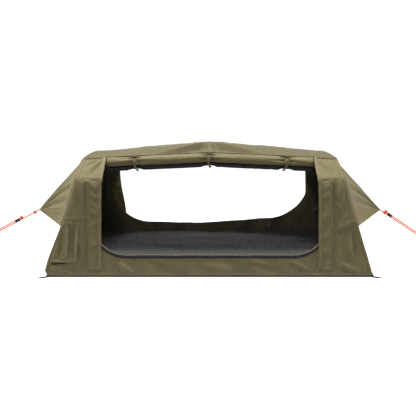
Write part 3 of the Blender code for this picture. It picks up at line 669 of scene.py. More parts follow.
@dataclass(frozen=True)
class Thread:
    """A row of small beads, such as stitches or zip teeth: one bead's size and their pitch."""

    length: float = 0.0034
    radius: float = 0.00042
    pitch: float = 0.0052
    flat: float = 1.0

    def stitches(self, name: str, face: Face, rows: Sequence[Array], offset: float,
                 finish: Material) -> Piece:
        """Sew rows of stitches on a surface.

        Args:
            name: Object's name.
            face: Surface that carries them.
            rows: Lines of places on the surface.
            offset: Distance of the thread's middle off the face.
            finish: Thread's finish.

        Returns:
            All the stitches as one object.
        """
        centres, turns = zip(*(self._row_frames(face, row, offset) for row in rows))
        seed = add_shape(bpy.ops.mesh.primitive_cylinder_add, name, vertices=5, radius=self.radius,
                         depth=self.length)
        edit_all(seed, lambda: bpy.ops.mesh.subdivide(number_cuts=1))
        bead = points_of(seed)
        bead[:, :2] *= np.where(np.abs(bead[:, 2:]) > self.length / 4, 0.45, 1.0)
        bead[:, 1] *= self.flat
        spread = np.einsum("nij,kj->nki", np.concatenate(turns), bead) + np.vstack(centres)[:, None, :]
        mesh = repeated(seed.data, spread)
        bpy.data.objects.remove(seed)
        rows_piece = bpy.data.objects.new(name, mesh)
        bpy.context.scene.collection.objects.link(rows_piece)
        return dress(rows_piece, finish)

    def _row_frames(self, face: Face, row: Array, offset: float) -> tuple[Array, Array]:
        """Find a row's stitch centres and turns.

        Args:
            face: Surface that carries them.
            row: Places on the surface.
            offset: Distance off the face.

        Returns:
            Centres, one a row, and turns that take Z along the row.
        """
        way = travelled(face.at(*row.T, offset))
        stops = np.arange(self.pitch / 2, way[-1], self.pitch)
        spots, ahead = (coords(*(np.interp(stops + shift, way, line) for line in row.T))
                        for shift in (0, self.pitch / 8))
        centres = face.at(*spots.T, offset)
        up = face.at(*spots.T, offset + self.length) - centres
        along = face.at(*ahead.T, offset) - centres
        keep = np.linalg.norm(along, axis=1) > 0
        centres, up, along = centres[keep], up[keep], unit(along[keep])
        across = unit(np.cross(up, along))
        return centres, np.stack([across, np.cross(along, across), along], -1)


def repeated(seed: bpy.types.Mesh, spread: Array) -> bpy.types.Mesh:
    """Copy a small mesh many times into one mesh.

    Args:
        seed: Mesh to copy.
        spread: Points of each copy, copies by points by three.

    Returns:
        The joined mesh.
    """
    copies, count = spread.shape[:2]
    corners = [list(face.vertices) for face in seed.polygons]
    faces = [[corner + count * k for corner in face] for k in range(copies) for face in corners]
    mesh = bpy.data.meshes.new(seed.name)
    mesh.from_pydata(spread.reshape(-1, 3).tolist(), [], faces)
    mesh.uv_layers.new(name="UVMap")
    mesh.shade_smooth()
    return mesh


def sew_on(panel: Piece, face: Face, palette: Palette, bands: Sequence[Band], rows: Sequence[Array],
           lift: float, thread: Thread = Thread(), more: Sequence[Piece] = ()) -> None:
    """Sew hems and rows of stitches on a panel.

    Args:
        panel: Piece that carries them.
        face: Its surface.
        palette: Every finish.
        bands: The hems and seams.
        rows: Lines of places that the stitches follow.
        lift: Distance of the thread's middle off the face.
        thread: The stitches.
        more: Other pieces of the panel.
    """
    extras = [strip(f"{panel.name}_band", face, palette, band) for band in bands]
    extras.append(thread.stitches(f"{panel.name}_thread", face, rows, lift, palette["thread"]))
    join(panel, [*extras, *more])


def tube(name: str, path: Array, radius: Array | float, sides: int = 16, closed: bool = False,
         lobes: int = 0, lobe_depth: float = 0.05, twist: float = 70.0) -> Piece:
    """Sweep a round section along a path.

    Args:
        name: Object's name.
        path: Points of the middle line, one a row.
        radius: Radius, or one for each point.
        sides: Points round the section.
        closed: Whether the path is a ring.
        lobes: Strands that show round the section.
        lobe_depth: Share by which the strands stand out.
        twist: Turns of the strands for each metre.

    Returns:
        The closed tube, its UV map in metres.
    """
    path = np.asarray(path, float)
    if closed:
        path = np.vstack([path, path[:1]])
    count = len(path) - 1
    radii = np.broadcast_to(np.asarray(radius, float), (count + 1,))
    heading = np.gradient(path, axis=0)
    if closed:
        heading[0] = heading[-1] = path[1] - path[-2]
    heading = unit(heading)
    across = np.empty_like(heading)
    across[0] = np.cross(heading[0], (0.0, 0.0, 1.0) if abs(heading[0][2]) < 0.8 else (0.0, 1.0, 0.0))
    for k in range(1, count + 1):
        across[k] = across[k - 1] - heading[k] * np.dot(across[k - 1], heading[k])
    across = unit(across)
    up = np.cross(heading, across)
    slip = np.arctan2(np.dot(across[0], up[-1]), np.dot(across[0], across[-1])) if closed else 0.0
    turns = slip * np.arange(count + 1) / count
    way = travelled(path)

    def place(along: Array, round_share: Array) -> Array:
        index = np.rint(along * count).astype(int)
        turn = -2 * pi * round_share + turns[index]
        lay = 1 + lobe_depth * np.cos(lobes * (turn + 2 * pi * twist * way[index])) if lobes else 1.0
        aside = across[index] * np.cos(turn)[:, None] + up[index] * np.sin(turn)[:, None]
        return path[index] + aside * (radii[index] * lay)[:, None]
    sweep = grid(name, (count, sides), place, (float(way[-1]), 2 * pi * float(np.mean(radii))))
    merge(sweep, 0.000001)
    if not closed:
        edit_all(sweep, lambda: bpy.ops.mesh.select_all(action="DESELECT"),
                 lambda: bpy.ops.mesh.select_mode(type="EDGE"),
                 lambda: bpy.ops.mesh.select_non_manifold(),
                 lambda: bpy.ops.mesh.fill_holes(sides=sides),
                 lambda: bpy.ops.mesh.select_mode(type="VERT"))
    face_out(sweep)
    return smooth(sweep)


def ring_points(sides: int) -> tuple[Array, Array]:
    """Find the cosines and sines of even turns round a ring."""
    turns = np.linspace(0, 2 * pi, sides, endpoint=False)
    return np.cos(turns), np.sin(turns)


def curve_path(spots: Sequence[Point], spacing: float, closed: bool = False) -> Array:
    """Draw a smooth line through points.

    Args:
        spots: Points that it passes.
        spacing: Distance between its points.
        closed: Whether it is a ring.

    Returns:
        The line's points at an even spacing.
    """
    spots = np.asarray(spots, float)
    first = spots[-1] if closed else 2 * spots[0] - spots[1]
    last = [spots[0], spots[1]] if closed else [2 * spots[-1] - spots[-2]]
    knots = np.vstack([first, spots, *last])
    pieces = []
    for k in range(1, len(knots) - 2):
        a, b, c, d = knots[k - 1:k + 3]
        t = np.linspace(0, 1, 24, endpoint=False)[:, None]
        pieces.append(0.5 * (2 * b + (c - a) * t + (2 * a - 5 * b + 4 * c - d) * t ** 2
                             + (3 * b - a - 3 * c + d) * t ** 3))
    fine = np.vstack([*pieces, knots[-2][None, :]])
    way = travelled(fine)
    stops = np.linspace(0, way[-1], max(2, round(way[-1] / spacing)) + 1)
    even = coords(*(np.interp(stops, way, line) for line in fine.T))
    return even[:-1] if closed else even


class Board:
    """A node tree with short ways to add nodes and link them."""

    def __init__(self, tree: Tree) -> None:
        """Keep the tree to fill."""
        self.tree = tree

    def add(self, kind: str, **inputs: object) -> bpy.types.Node:
        """Add a node.

        Args:
            kind: Blender's name of the node, after ShaderNode.
            inputs: Values or output sockets for its named inputs.

        Returns:
            The node.
        """
        node = self.tree.nodes.new(f"ShaderNode{kind}")
        for name, value in inputs.items():
            self.put(node.inputs[name.replace("_", " ")], value)
        return node

    def group(self, tree: Tree, **inputs: object) -> bpy.types.NodeOutputs:
        """Place a shared group.

        Args:
            tree: The group.
            inputs: Values or output sockets for its named inputs.

        Returns:
            Its outputs.
        """
        node = self.add("Group")
        node.node_tree = tree
        for name, value in inputs.items():
            self.put(node.inputs[name.replace("_", " ")], value)
        return node.outputs

    def put(self, socket: bpy.types.NodeSocket, value: object) -> None:
        """Link an output to a socket, or set the socket's value."""
        if isinstance(value, bpy.types.NodeSocket):
            self.tree.links.new(value, socket)
        else:
            socket.default_value = value

    def math(self, operation: str, a: object, b: object = 0.0) -> bpy.types.NodeSocket:
        """Add a sum of one or two values.

        Args:
            operation: Blender's name of the sum.
            a: First value or output.
            b: Second value or output.

        Returns:
            The result's output.
        """
        node = self.add("Math")
        node.operation = operation
        self.put(node.inputs[0], a)
        self.put(node.inputs[1], b)
        return node.outputs[0]

    def times(self, a: object, b: object) -> bpy.types.NodeSocket:
        """Multiply two values."""
        return self.math("MULTIPLY", a, b)

    def plus(self, a: object, b: object) -> bpy.types.NodeSocket:
        """Add two values."""
        return self.math("ADD", a, b)

    def clamp(self, a: object) -> bpy.types.NodeSocket:
        """Hold a value between 0 and 1."""
        return self.math("MINIMUM", self.math("MAXIMUM", a, 0.0), 1.0)

    def blend(self, share: object, first: object, second: object) -> bpy.types.NodeSocket:
        """Mix two colours by the share of the second."""
        node = self.add("Mix")
        node.data_type = "RGBA"
        for index, value in ((0, share), (6, first), (7, second)):
            self.put(node.inputs[index], value)
        return node.outputs[2]


def new_group(name: str, outputs: Sequence[str], **inputs: float | None) -> tuple[
        Tree, Board, bpy.types.NodeOutputs, bpy.types.NodeInputs]:
    """Start a shader node group.

    Args:
        name: Group's name.
        outputs: Names of its outputs, all single values.
        inputs: Its inputs' first values, with none for a vector.

    Returns:
        The group, its board, the given values' outputs and the inputs of what it puts out.
    """
    tree = bpy.data.node_groups.new(name, "ShaderNodeTree")
    for label, value in inputs.items():
        kind = "NodeSocketVector" if value is None else "NodeSocketFloat"
        socket = tree.interface.new_socket(label.replace("_", " "), in_out="INPUT", socket_type=kind)
        if value is not None:
            socket.default_value = value
    for label in outputs:
        tree.interface.new_socket(label, in_out="OUTPUT", socket_type="NodeSocketFloat")
    given, out = tree.nodes.new("NodeGroupInput"), tree.nodes.new("NodeGroupOutput")
    return tree, Board(tree), given.outputs, out.inputs


def weave_group() -> Tree:
    """Build the weave: threads over and under, and a square grid of thicker ones.

    Returns:
        A group that gives the height of the threads and a mask of the thick ones.
    """
    tree, board, given, out = new_group("weave", ("Height", "Grid"), Vector=None, Threads=900.0,
                                        Squares=150.0, Square_Depth=0.5)
    place = board.add("SeparateXYZ", Vector=given["Vector"]).outputs
    waves, bars = [], []
    for axis in ("X", "Y"):
        turn = board.times(place[axis], given["Threads"])
        waves.append(board.math("SINE", board.times(turn, 2 * pi)))
        square = board.times(place[axis], given["Squares"])
        bar = board.math("ABSOLUTE", board.math("COSINE", board.times(square, pi)))
        bars.append(board.math("POWER", bar, 28.0))
    mask = board.math("MAXIMUM", *bars)
    raised = board.times(mask, given["Square Depth"])
    board.put(out["Height"], board.plus(board.times(board.times(*waves), 0.5), raised))
    board.put(out["Grid"], mask)
    return tree


def blotch_group() -> Tree:
    """Build uneven colour: broad clouds and fine specks.

    Returns:
        A group that gives a shade round one, and a mask of the specks.
    """
    tree, board, given, out = new_group("blotch", ("Shade", "Specks"), Vector=None, Size=6.0, Amount=0.1)
    broad = board.add("TexNoise", Vector=given["Vector"], Scale=given["Size"], Detail=5.0, Roughness=0.62)
    shift = board.times(board.math("SUBTRACT", broad.outputs["Fac"], 0.5), board.times(given["Amount"], 2.0))
    board.put(out["Shade"], board.plus(shift, 1.0))
    fine = board.add("TexNoise", Vector=given["Vector"], Scale=board.times(given["Size"], 60.0), Detail=3.0)
    specks = board.times(board.math("SUBTRACT", fine.outputs["Fac"], 0.62), 6.0)
    board.put(out["Specks"], board.clamp(specks))
    return tree


def dust_group() -> Tree:
    """Build the ground's dust: a mask that is strongest near the floor, broken by noise.

    Returns:
        A group that gives the dust's mask.
    """
    tree, board, given, out = new_group("ground_dust", ("Mask",), Vector=None, Reach=0.16, Amount=0.3)
    place = board.add("SeparateXYZ", Vector=given["Vector"]).outputs
    low = board.clamp(board.math("SUBTRACT", 1.0, board.math("DIVIDE", place["Z"], given["Reach"])))
    noise = board.add("TexNoise", Vector=given["Vector"], Scale=14.0, Detail=4.0)
    broken = board.times(board.times(low, low), noise.outputs["Fac"])
    board.put(out["Mask"], board.times(broken, given["Amount"]))
    return tree


def crease_group() -> Tree:
    """Build the small creases of handled cloth, longer up the walls than across them.

    Returns:
        A group that gives the creases' height.
    """
    tree, board, given, out = new_group("crease", ("Height",), Vector=None, Size=9.0)
    place = board.add("Mapping", Vector=given["Vector"], Scale=(1.5, 1.0, 0.6)).outputs["Vector"]
    broad = board.add("TexNoise", Vector=place, Scale=given["Size"], Detail=3.0, Roughness=0.55,
                      Distortion=0.8)
    fine = board.add("TexNoise", Vector=place, Detail=2.0, Distortion=0.4,
                     Scale=board.times(given["Size"], 3.2))
    heights = []
    for noise, share in ((broad, 1.0), (fine, 0.35)):
        ridge = board.math("ABSOLUTE", board.math("SUBTRACT", noise.outputs["Fac"], 0.5))
        heights.append(board.times(board.math("SQRT", ridge), share * 2.0))
    board.put(out["Height"], board.plus(*heights))
    return tree


@dataclass
class Effects:
    """The shared effects, built once."""

    weave: Tree = field(default_factory=weave_group)
    blotch: Tree = field(default_factory=blotch_group)
    dust: Tree = field(default_factory=dust_group)
    crease: Tree = field(default_factory=crease_group)


def rgba(colour: Sequence[float], shade: float = 1.0) -> tuple[float, float, float, float]:
    """Scale a linear colour and add its alpha."""
    return (*(channel * shade for channel in colour), 1.0)


WHITE = rgba((1.0, 1.0, 1.0))
DUST = rgba((0.33, 0.28, 0.2))
CANVAS_WEAVE = {"threads": 620.0, "squares": 166.0}
CANVAS_LOOKS = {**CANVAS_WEAVE, "clouds": 0.12, "square_depth": 0.8, "square_shade": -0.12, "bump": 0.35}
HEM_LOOKS = {**CANVAS_WEAVE, "square_depth": 0.5, "sheen": 0.05, "bump": 0.35, "dust": 0.25}
MESH_LOOKS = {"threads": 520.0, "squares": 700.0, "square_depth": 0.8}
WEBBING_LOOKS = {"clouds": 0.1, "threads": 420.0, "squares": 420.0, "square_depth": 0.6, "bump": 0.7,
                 "relief": 0.0003}


@dataclass(frozen=True)
class Finish:
    """A finish with cloudy colour, fine specks and, on cloth, a weave."""

    name: str
    colour: tuple[float, float, float]
    roughness: float
    metallic: float = 0.0
    sheen: float = 0.0
    clouds: float = 0.08
    cloud_size: float = 7.0
    speck_shade: float = 0.85
    threads: float = 0.0
    squares: float = 0.0
    square_depth: float = 0.0
    square_shade: float = 0.0
    bump: float = 0.25
    relief: float = 0.00012
    dust: float = 0.0
    creases: float = 0.0
    holes: bool = False

    def material(self, effects: Effects) -> Material:
        """Build the material.

        Args:
            effects: The shared node groups.

        Returns:
            The material.
        """
        material = bpy.data.materials.new(self.name)
        material.use_nodes = True
        board = Board(material.node_tree)
        shader = material.node_tree.nodes["Principled BSDF"].inputs
        place = board.add("TexCoord").outputs
        blotch = board.group(effects.blotch, Vector=place["Object"], Size=self.cloud_size, Amount=self.clouds)
        hsv = board.add("HueSaturation", Color=rgba(self.colour), Value=blotch["Shade"])
        colour = board.blend(blotch["Specks"], hsv.outputs["Color"], rgba(self.colour, self.speck_shade))
        if self.dust:
            dust = board.group(effects.dust, Vector=place["Object"], Amount=self.dust)
            colour = board.blend(dust["Mask"], colour, DUST)
        height = board.times(blotch["Specks"], 0.2)
        if self.threads:
            weave = board.group(effects.weave, Vector=place["UV"], Threads=self.threads,
                                Squares=self.squares, Square_Depth=self.square_depth)
            height = board.plus(height, weave["Height"])
            if self.square_shade:
                share = board.times(weave["Grid"], abs(self.square_shade))
                colour = board.blend(share, colour, rgba(self.colour, 1 + self.square_shade))
            if self.holes:
                board.put(shader["Alpha"], board.plus(weave["Grid"], 0.35))
        bump = board.add("Bump", Strength=self.bump, Distance=self.relief, Height=height)
        if self.creases:
            crease = board.group(effects.crease, Vector=place["Object"])
            under = board.add("Bump", Strength=1.0, Distance=self.creases, Height=crease["Height"])
            board.put(bump.inputs["Normal"], under.outputs["Normal"])
        for name, value in (("Base Color", colour), ("Normal", bump.outputs["Normal"]),
                            ("Roughness", self.roughness), ("Metallic", self.metallic),
                            ("Sheen Weight", self.sheen)):
            board.put(shader[name], value)
        return material


@dataclass
class Palette:
    """Every finish of the swag, as materials."""

    effects: Effects = field(default_factory=Effects)
    made: dict[str, Material] = field(default_factory=dict)

    FINISHES = (
        Finish("canvas", (0.180, 0.149, 0.065), 0.72, sheen=0.05, creases=0.0022, dust=0.25, **CANVAS_LOOKS),
        # Painted shade: the roof is the walls' canvas, copied about two thirds as bright so that the roof
        # shows darker.
        Finish("roof_cloth", (0.120, 0.100, 0.044), 0.8, sheen=0.03, creases=0.0016, dust=0.1,
               **CANVAS_LOOKS),
        Finish("canvas_lining", (0.145, 0.130, 0.076), 0.8, clouds=0.12, square_depth=0.5, bump=0.3,
               **CANVAS_WEAVE),
        Finish("canvas_hem", (0.205, 0.170, 0.076), 0.7, creases=0.0010, clouds=0.10, **HEM_LOOKS),
        Finish("thread", (0.15, 0.13, 0.06), 0.6, clouds=0.05),
        Finish("pvc", (0.012, 0.012, 0.013), 0.42, clouds=0.2, threads=300.0, squares=300.0,
               square_depth=0.3, bump=0.25, dust=0.35),
        Finish("insect_mesh", (0.018, 0.021, 0.022), 0.75, clouds=0.2, square_shade=0.6, bump=0.6,
               **MESH_LOOKS),
        Finish("vent_mesh", (0.018, 0.021, 0.022), 0.75, clouds=0.1, square_shade=0.5, bump=0.5,
               holes=True, **MESH_LOOKS),
        Finish("zip_tape", (0.017, 0.018, 0.021), 0.6, clouds=0.1, threads=900.0, squares=900.0,
               square_depth=0.2, bump=0.3),
        Finish("zip_teeth", (0.022, 0.023, 0.026), 0.35, clouds=0.05),
        Finish("zip_slider", (0.06, 0.06, 0.062), 0.38, metallic=0.9, clouds=0.1, bump=0.1),
        Finish("webbing", (0.014, 0.014, 0.015), 0.72, square_shade=0.3, **WEBBING_LOOKS),
        Finish("orange_webbing", (0.72, 0.10, 0.012), 0.72, square_shade=-0.3, **WEBBING_LOOKS),
        Finish("moulded_nylon", (0.014, 0.014, 0.015), 0.42, clouds=0.1, speck_shade=1.6, bump=0.15),
        Finish("mattress_cover", (0.052, 0.0495, 0.054), 0.95, sheen=0.1, clouds=0.10,
               threads=700.0, squares=700.0, square_depth=0.2, bump=0.4),
        Finish("plated_steel", (0.50, 0.50, 0.51), 0.34, metallic=1.0, clouds=0.12, bump=0.1),
        Finish("anodised_alloy", (0.56, 0.56, 0.58), 0.36, metallic=1.0, clouds=0.06, bump=0.08),
        Finish("guy_cord", (0.95, 0.105, 0.02), 0.66, clouds=0.08, threads=700.0, squares=460.0,
               square_depth=0.6, square_shade=-0.15, bump=0.6, relief=0.0003),
    )

    def __getitem__(self, name: str) -> Material:
        """Find a material, building it at its first use."""
        if name not in self.made:
            finish = next(one for one in self.FINISHES if one.name == name)
            self.made[name] = finish.material(self.effects)
        return self.made[name]

    @property
    def lined(self) -> tuple[Material, Material]:
        """The walls' canvas and its lining."""
        return self["canvas"], self["canvas_lining"]


def settle(piece: Piece, body: str, slot: str, *nodes: str) -> None:
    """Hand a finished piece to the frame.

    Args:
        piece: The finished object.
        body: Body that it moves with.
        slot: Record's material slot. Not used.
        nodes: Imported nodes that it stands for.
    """
    activate(piece)
    bpy.ops.object.transform_apply(location=True, rotation=True, scale=True)
    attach(piece, body)
    if nodes:
        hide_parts(*nodes)
    LOG.info("%s: %d faces, body %s", piece.name, len(piece.data.polygons), body)


@dataclass(frozen=True)
class Tuck:
    """A fold whose one side slopes up and whose other side drops at once, as a lapped edge does."""

    start: tuple[float, float]
    end: tuple[float, float]
    rise: float
    width: float
    drop: float = 0.002

    def height(self, a: Array, b: Array) -> Array:
        """Find the tuck's height.

        Args:
            a: Places in the surface's first direction.
            b: Places in its second direction.

        Returns:
            Heights over the cloth.
        """
        run = np.array(self.end) - np.array(self.start)
        length = float(np.hypot(*run))
        along = ((a - self.start[0]) * run[0] + (b - self.start[1]) * run[1]) / length ** 2
        aside = ((a - self.start[0]) * run[1] - (b - self.start[1]) * run[0]) / length
        slope = np.clip(1 - aside / self.width, 0, 1) * step_up(-self.drop, 0, aside)
        return self.rise * slope ** 2 * step_up(0, 0.15, along) * (1 - step_up(0.85, 1, along))


@dataclass
class Studio:
    """Camera, soft lights and a pale floor."""

    place: Point = (-0.013, -5.35, 1.12)
    dip: float = 0.1369
    focal_pixels: float = 745.8
    frame_pixels: float = 416.0
    sensor: float = 36.0
    floor_size: float = 60.0
    sky: float = 0.12
    floor_shade: float = 0.42
    LIGHTS = (("overhead", (-0.3, -0.58, 4.2), (1.6, 0.7), 200.0),
              ("left_side", (-4.2, -0.8, 2.0), (1.2, 1.2), 118.0),
              ("right_side", (4.2, -0.8, 2.0), (1.2, 1.2), 118.0),
              ("front_fill", (-0.8, -5.8, 3.2), (1.6, 1.2), 28.0),
              ("rear_glow", (0.0, 4.6, 1.25), (1.8, 0.8), 50.0))

    def build(self) -> None:
        """Set the camera, the lights, the world and the floor."""
        lens = bpy.data.cameras.new("camera")
        lens.sensor_width = self.sensor
        lens.sensor_fit = "HORIZONTAL"
        lens.lens = self.focal_pixels / self.frame_pixels * self.sensor
        lens.clip_end = self.floor_size * 2
        camera = self._put("camera", lens, self.place)
        camera.rotation_euler = (pi / 2 - self.dip, 0, 0)
        bpy.context.scene.camera = camera
        bpy.context.scene.view_settings.view_transform = "Standard"
        for name, place, size, power in self.LIGHTS:
            data = bpy.data.lights.new(name, "AREA")
            data.shape = "RECTANGLE"
            data.size, data.size_y = size
            data.energy = power
            aim = Vector(MIDDLE) - Vector(place)
            self._put(name, data, place).rotation_euler = aim.to_track_quat("-Z", "Y").to_euler()
        self._world()
        self._floor()

    def _put(self, name: str, data: bpy.types.ID, place: Point) -> bpy.types.Object:
        """Put a camera or a light in the scene.

        Args:
            name: Its name.
            data: Its camera or light data.
            place: Its place.

        Returns:
            The object.
        """
        thing = bpy.data.objects.new(name, data)
        thing.location = place
        bpy.context.scene.collection.objects.link(thing)
        return thing

    def _world(self) -> None:
        """Light everything softly from all round, with a white background."""
        world = bpy.data.worlds.new("studio")
        world.use_nodes = True
        board = Board(world.node_tree)
        glow = world.node_tree.nodes["Background"].inputs
        glow["Color"].default_value = WHITE
        board.put(glow["Strength"], board.plus(board.add("LightPath").outputs["Is Camera Ray"], self.sky))
        bpy.context.scene.world = world

    def _floor(self) -> None:
        """Lay the floor, which isn't part of the swag."""
        floor = add_shape(bpy.ops.mesh.primitive_plane_add, "studio_floor", size=self.floor_size,
                          location=(0, 0, -0.0005))
        paint = bpy.data.materials.new("studio_floor")
        paint.use_nodes = True
        board = Board(paint.node_tree)
        shader = paint.node_tree.nodes["Principled BSDF"].inputs
        for name, value in (("Base Color", rgba((self.floor_shade,) * 3)), ("Roughness", 0.9),
                            ("Emission Color", WHITE),
                            ("Emission Strength", board.add("LightPath").outputs["Is Camera Ray"])):
            board.put(shader[name], value)
        dress(floor, paint)


@dataclass
class GuyRopes:
    """The two guy ropes, each doubled back through its tensioner from an eye outside the picture."""

    palette: Palette
    radius: float = 0.0043
    tip_reach: float = 0.153
    tip_height: float = 0.374
    strand_gap: float = 0.012
    eye_radius: float = 0.013
    eye_start: float = radians(-20.0)
    eye_turn: float = radians(220.0)
    eye_steps: int = 10
    tensioner_length: float = 0.036
    straight_steps: int = 12
    knot_place: float = 0.045
    knot_size: float = 0.0062
    FALL = {End.LEFT: 0.532, End.RIGHT: 0.67}
    REACH = {End.LEFT: 0.44, End.RIGHT: 0.45}
    TENSIONER = {End.LEFT: 0.185, End.RIGHT: 0.085}

    def across(self, end: End) -> Array:
        """Find the upward direction from one strand to the other."""
        return unit(np.array([end.value * self.FALL[end], 0.0, 1.0]))

    def frame(self, end: End) -> tuple[Array, Array]:
        """Find a rope's start and its outward direction."""
        tip = np.array([end.value * (SKIN.base_length / 2 + self.tip_reach), 0, self.tip_height])
        out = unit(np.array([end.value, 0, -self.FALL[end]]))
        return tip + out * 2 * GAP, out

    def route(self, end: End) -> Array:
        """List the rope's points, from the hood's tip to its far eye and back.

        Args:
            end: Which rope.

        Returns:
            The points, one a row.
        """
        start, out = self.frame(end)
        reach = self.REACH[end]
        bend = reach - self.eye_radius
        neck = bend - 3 * self.eye_radius
        step = reach / self.straight_steps
        spots = [(step * k, 0.0) for k in range(self.straight_steps) if step * k < neck]
        spots += [(neck, 0.0), (bend - self.eye_radius, -self.eye_radius / 5)]
        turns = [self.eye_start + self.eye_turn * k / self.eye_steps for k in range(self.eye_steps + 1)]
        spots += [(bend + self.eye_radius * sin(turn), self.strand_gap / 2 - self.eye_radius * cos(turn))
                  for turn in turns]
        spots += [(bend - self.eye_radius, self.strand_gap + self.eye_radius / 5), (neck, self.strand_gap)]
        stop = self.TENSIONER[end] - self.tensioner_length
        steps = max(2, round((neck - stop) / step))
        spots += [(neck + (stop - neck) * k / steps, self.strand_gap) for k in range(1, steps + 1)]
        across = self.across(end)
        return np.array([start + out * along + across * aside for along, aside in spots])

    def build(self) -> None:
        """Make both ropes with their knots."""
        for end in End:
            path = curve_path(self.route(end), 0.0022)
            cord = dress(tube(f"{end}_guy_cord", path, self.radius, 12, lobes=6), self.palette["guy_cord"])
            settle(cord, "root", "orange_rope", f"{end}_guy_rope")
            start, out = self.frame(end)
            knots = [self._knot(f"{end}_tip_knot", start + out * self.knot_place, out),
                     self._knot(f"{end}_stop_knot", path[-1], out)]
            tuple(path[0])
            round(float(travelled(path)[-1]), 3)
            self.radius * 2

    def _knot(self, name: str, middle: Array, out: Array) -> Piece:
        """Tie a small overhand knot round the rope.

        Args:
            name: Knot's name.
            middle: Its middle.
            out: The rope's direction.

        Returns:
            The knot.
        """
        turns = np.linspace(0, 2 * pi, 48, endpoint=False)
        side = np.array([0.0, 1.0, 0.0])
        ring = (2 + np.cos(3 * turns)) * self.knot_size / 2
        path = (middle + np.outer(np.cos(2 * turns) * ring, side)
                + np.outer(np.sin(2 * turns) * ring, np.cross(out, side))
                + np.outer(np.sin(3 * turns) * self.knot_size * 1.1, out))
        knot = dress(tube(name, path, self.radius * 0.95, 10, closed=True, lobes=6), self.palette["guy_cord"])
        settle(knot, "root", "orange_rope")
        return knot


def wall_reliefs(side: Side) -> tuple[Relief, ...]:
    """List the folds and ripples of a long side, which everything on it shares."""
    soft = (Ripples(11 + side.value, 0.0042, 0.12, 0.42, 0.0, 1.6),
            Ripples(21 + side.value, 0.0008, 0.035, 0.10, 0.0, 1.4))
    lower = folds(
        (-0.625, 0.075, -0.545, 0.002, -0.0070, 0.010), (-0.60, 0.095, -0.50, 0.012, 0.0070, 0.016),
        (-0.42, 0.124, -0.18, 0.052, 0.0065, 0.024, 0.5), (-0.42, 0.105, -0.20, 0.035, -0.0050, 0.016, 0.5),
        (-0.12, 0.122, 0.12, 0.065, -0.0045, 0.018, 0.6), (-0.10, 0.104, 0.18, 0.040, 0.0045, 0.022),
        (0.18, 0.126, 0.42, 0.060, 0.0060, 0.022, 0.5), (0.22, 0.104, 0.44, 0.034, -0.0048, 0.017),
        (0.50, 0.112, 0.68, 0.026, 0.0060, 0.020), (0.52, 0.085, 0.66, 0.014, -0.0048, 0.014))
    shoulder = folds(
        (-0.715, 0.80, -0.83, 0.69, 0.0080, 0.011, 0.9, True),
        (-0.715, 0.79, -0.79, 0.655, -0.0065, 0.011, 0.8, True),
        (-0.74, 0.79, -0.89, 0.72, -0.0055, 0.012, 0.8, True),
        (0.712, 0.80, 0.800, 0.690, 0.0060, 0.014, 0.8, True),
        (0.715, 0.79, 0.79, 0.650, -0.0045, 0.015, 0.8, True),
        (0.73, 0.80, 0.86, 0.69, 0.0060, 0.014, 0.8, True),
        (-0.92, 0.662, -0.855, 0.628, -0.0100, 0.007), (0.855, 0.632, 0.925, 0.655, -0.0100, 0.008),
        (-0.86, 0.640, -0.72, 0.632, -0.0050, 0.010), (0.72, 0.630, 0.87, 0.640, -0.0055, 0.010))
    walls = folds(
        (-0.885, 0.640, -0.945, 0.39, 0.0080, 0.018), (-0.858, 0.630, -0.885, 0.40, -0.0065, 0.013),
        (-0.832, 0.620, -0.838, 0.42, 0.0048, 0.010), (-0.818, 0.600, -0.822, 0.38, -0.0040, 0.008),
        (0.905, 0.640, 0.945, 0.42, 0.0075, 0.018), (0.872, 0.640, 0.90, 0.40, -0.0060, 0.014),
        (0.82, 0.50, 0.87, 0.42, 0.0050, 0.014), (0.835, 0.53, 0.865, 0.36, -0.0045, 0.012),
        (0.945, 0.350, 0.808, 0.275, -0.0090, 0.011, 0.5, True),
        (0.95, 0.372, 0.82, 0.305, 0.0065, 0.014, 0.5, True),
        (0.93, 0.300, 0.955, 0.12, -0.0060, 0.014), (0.90, 0.290, 0.915, 0.10, 0.0050, 0.020),
        (0.84, 0.090, 0.99, 0.030, 0.0070, 0.016), (0.84, 0.055, 0.97, 0.012, -0.0060, 0.010),
        (-0.97, 0.345, -0.86, 0.385, 0.0050, 0.010, 0.5, True), (-0.99, 0.075, -0.86, 0.030, -0.0070, 0.011),
        (-1.02, 0.060, -0.90, 0.060, 0.0060, 0.018))
    return (*soft, *lower, *shoulder, *walls)


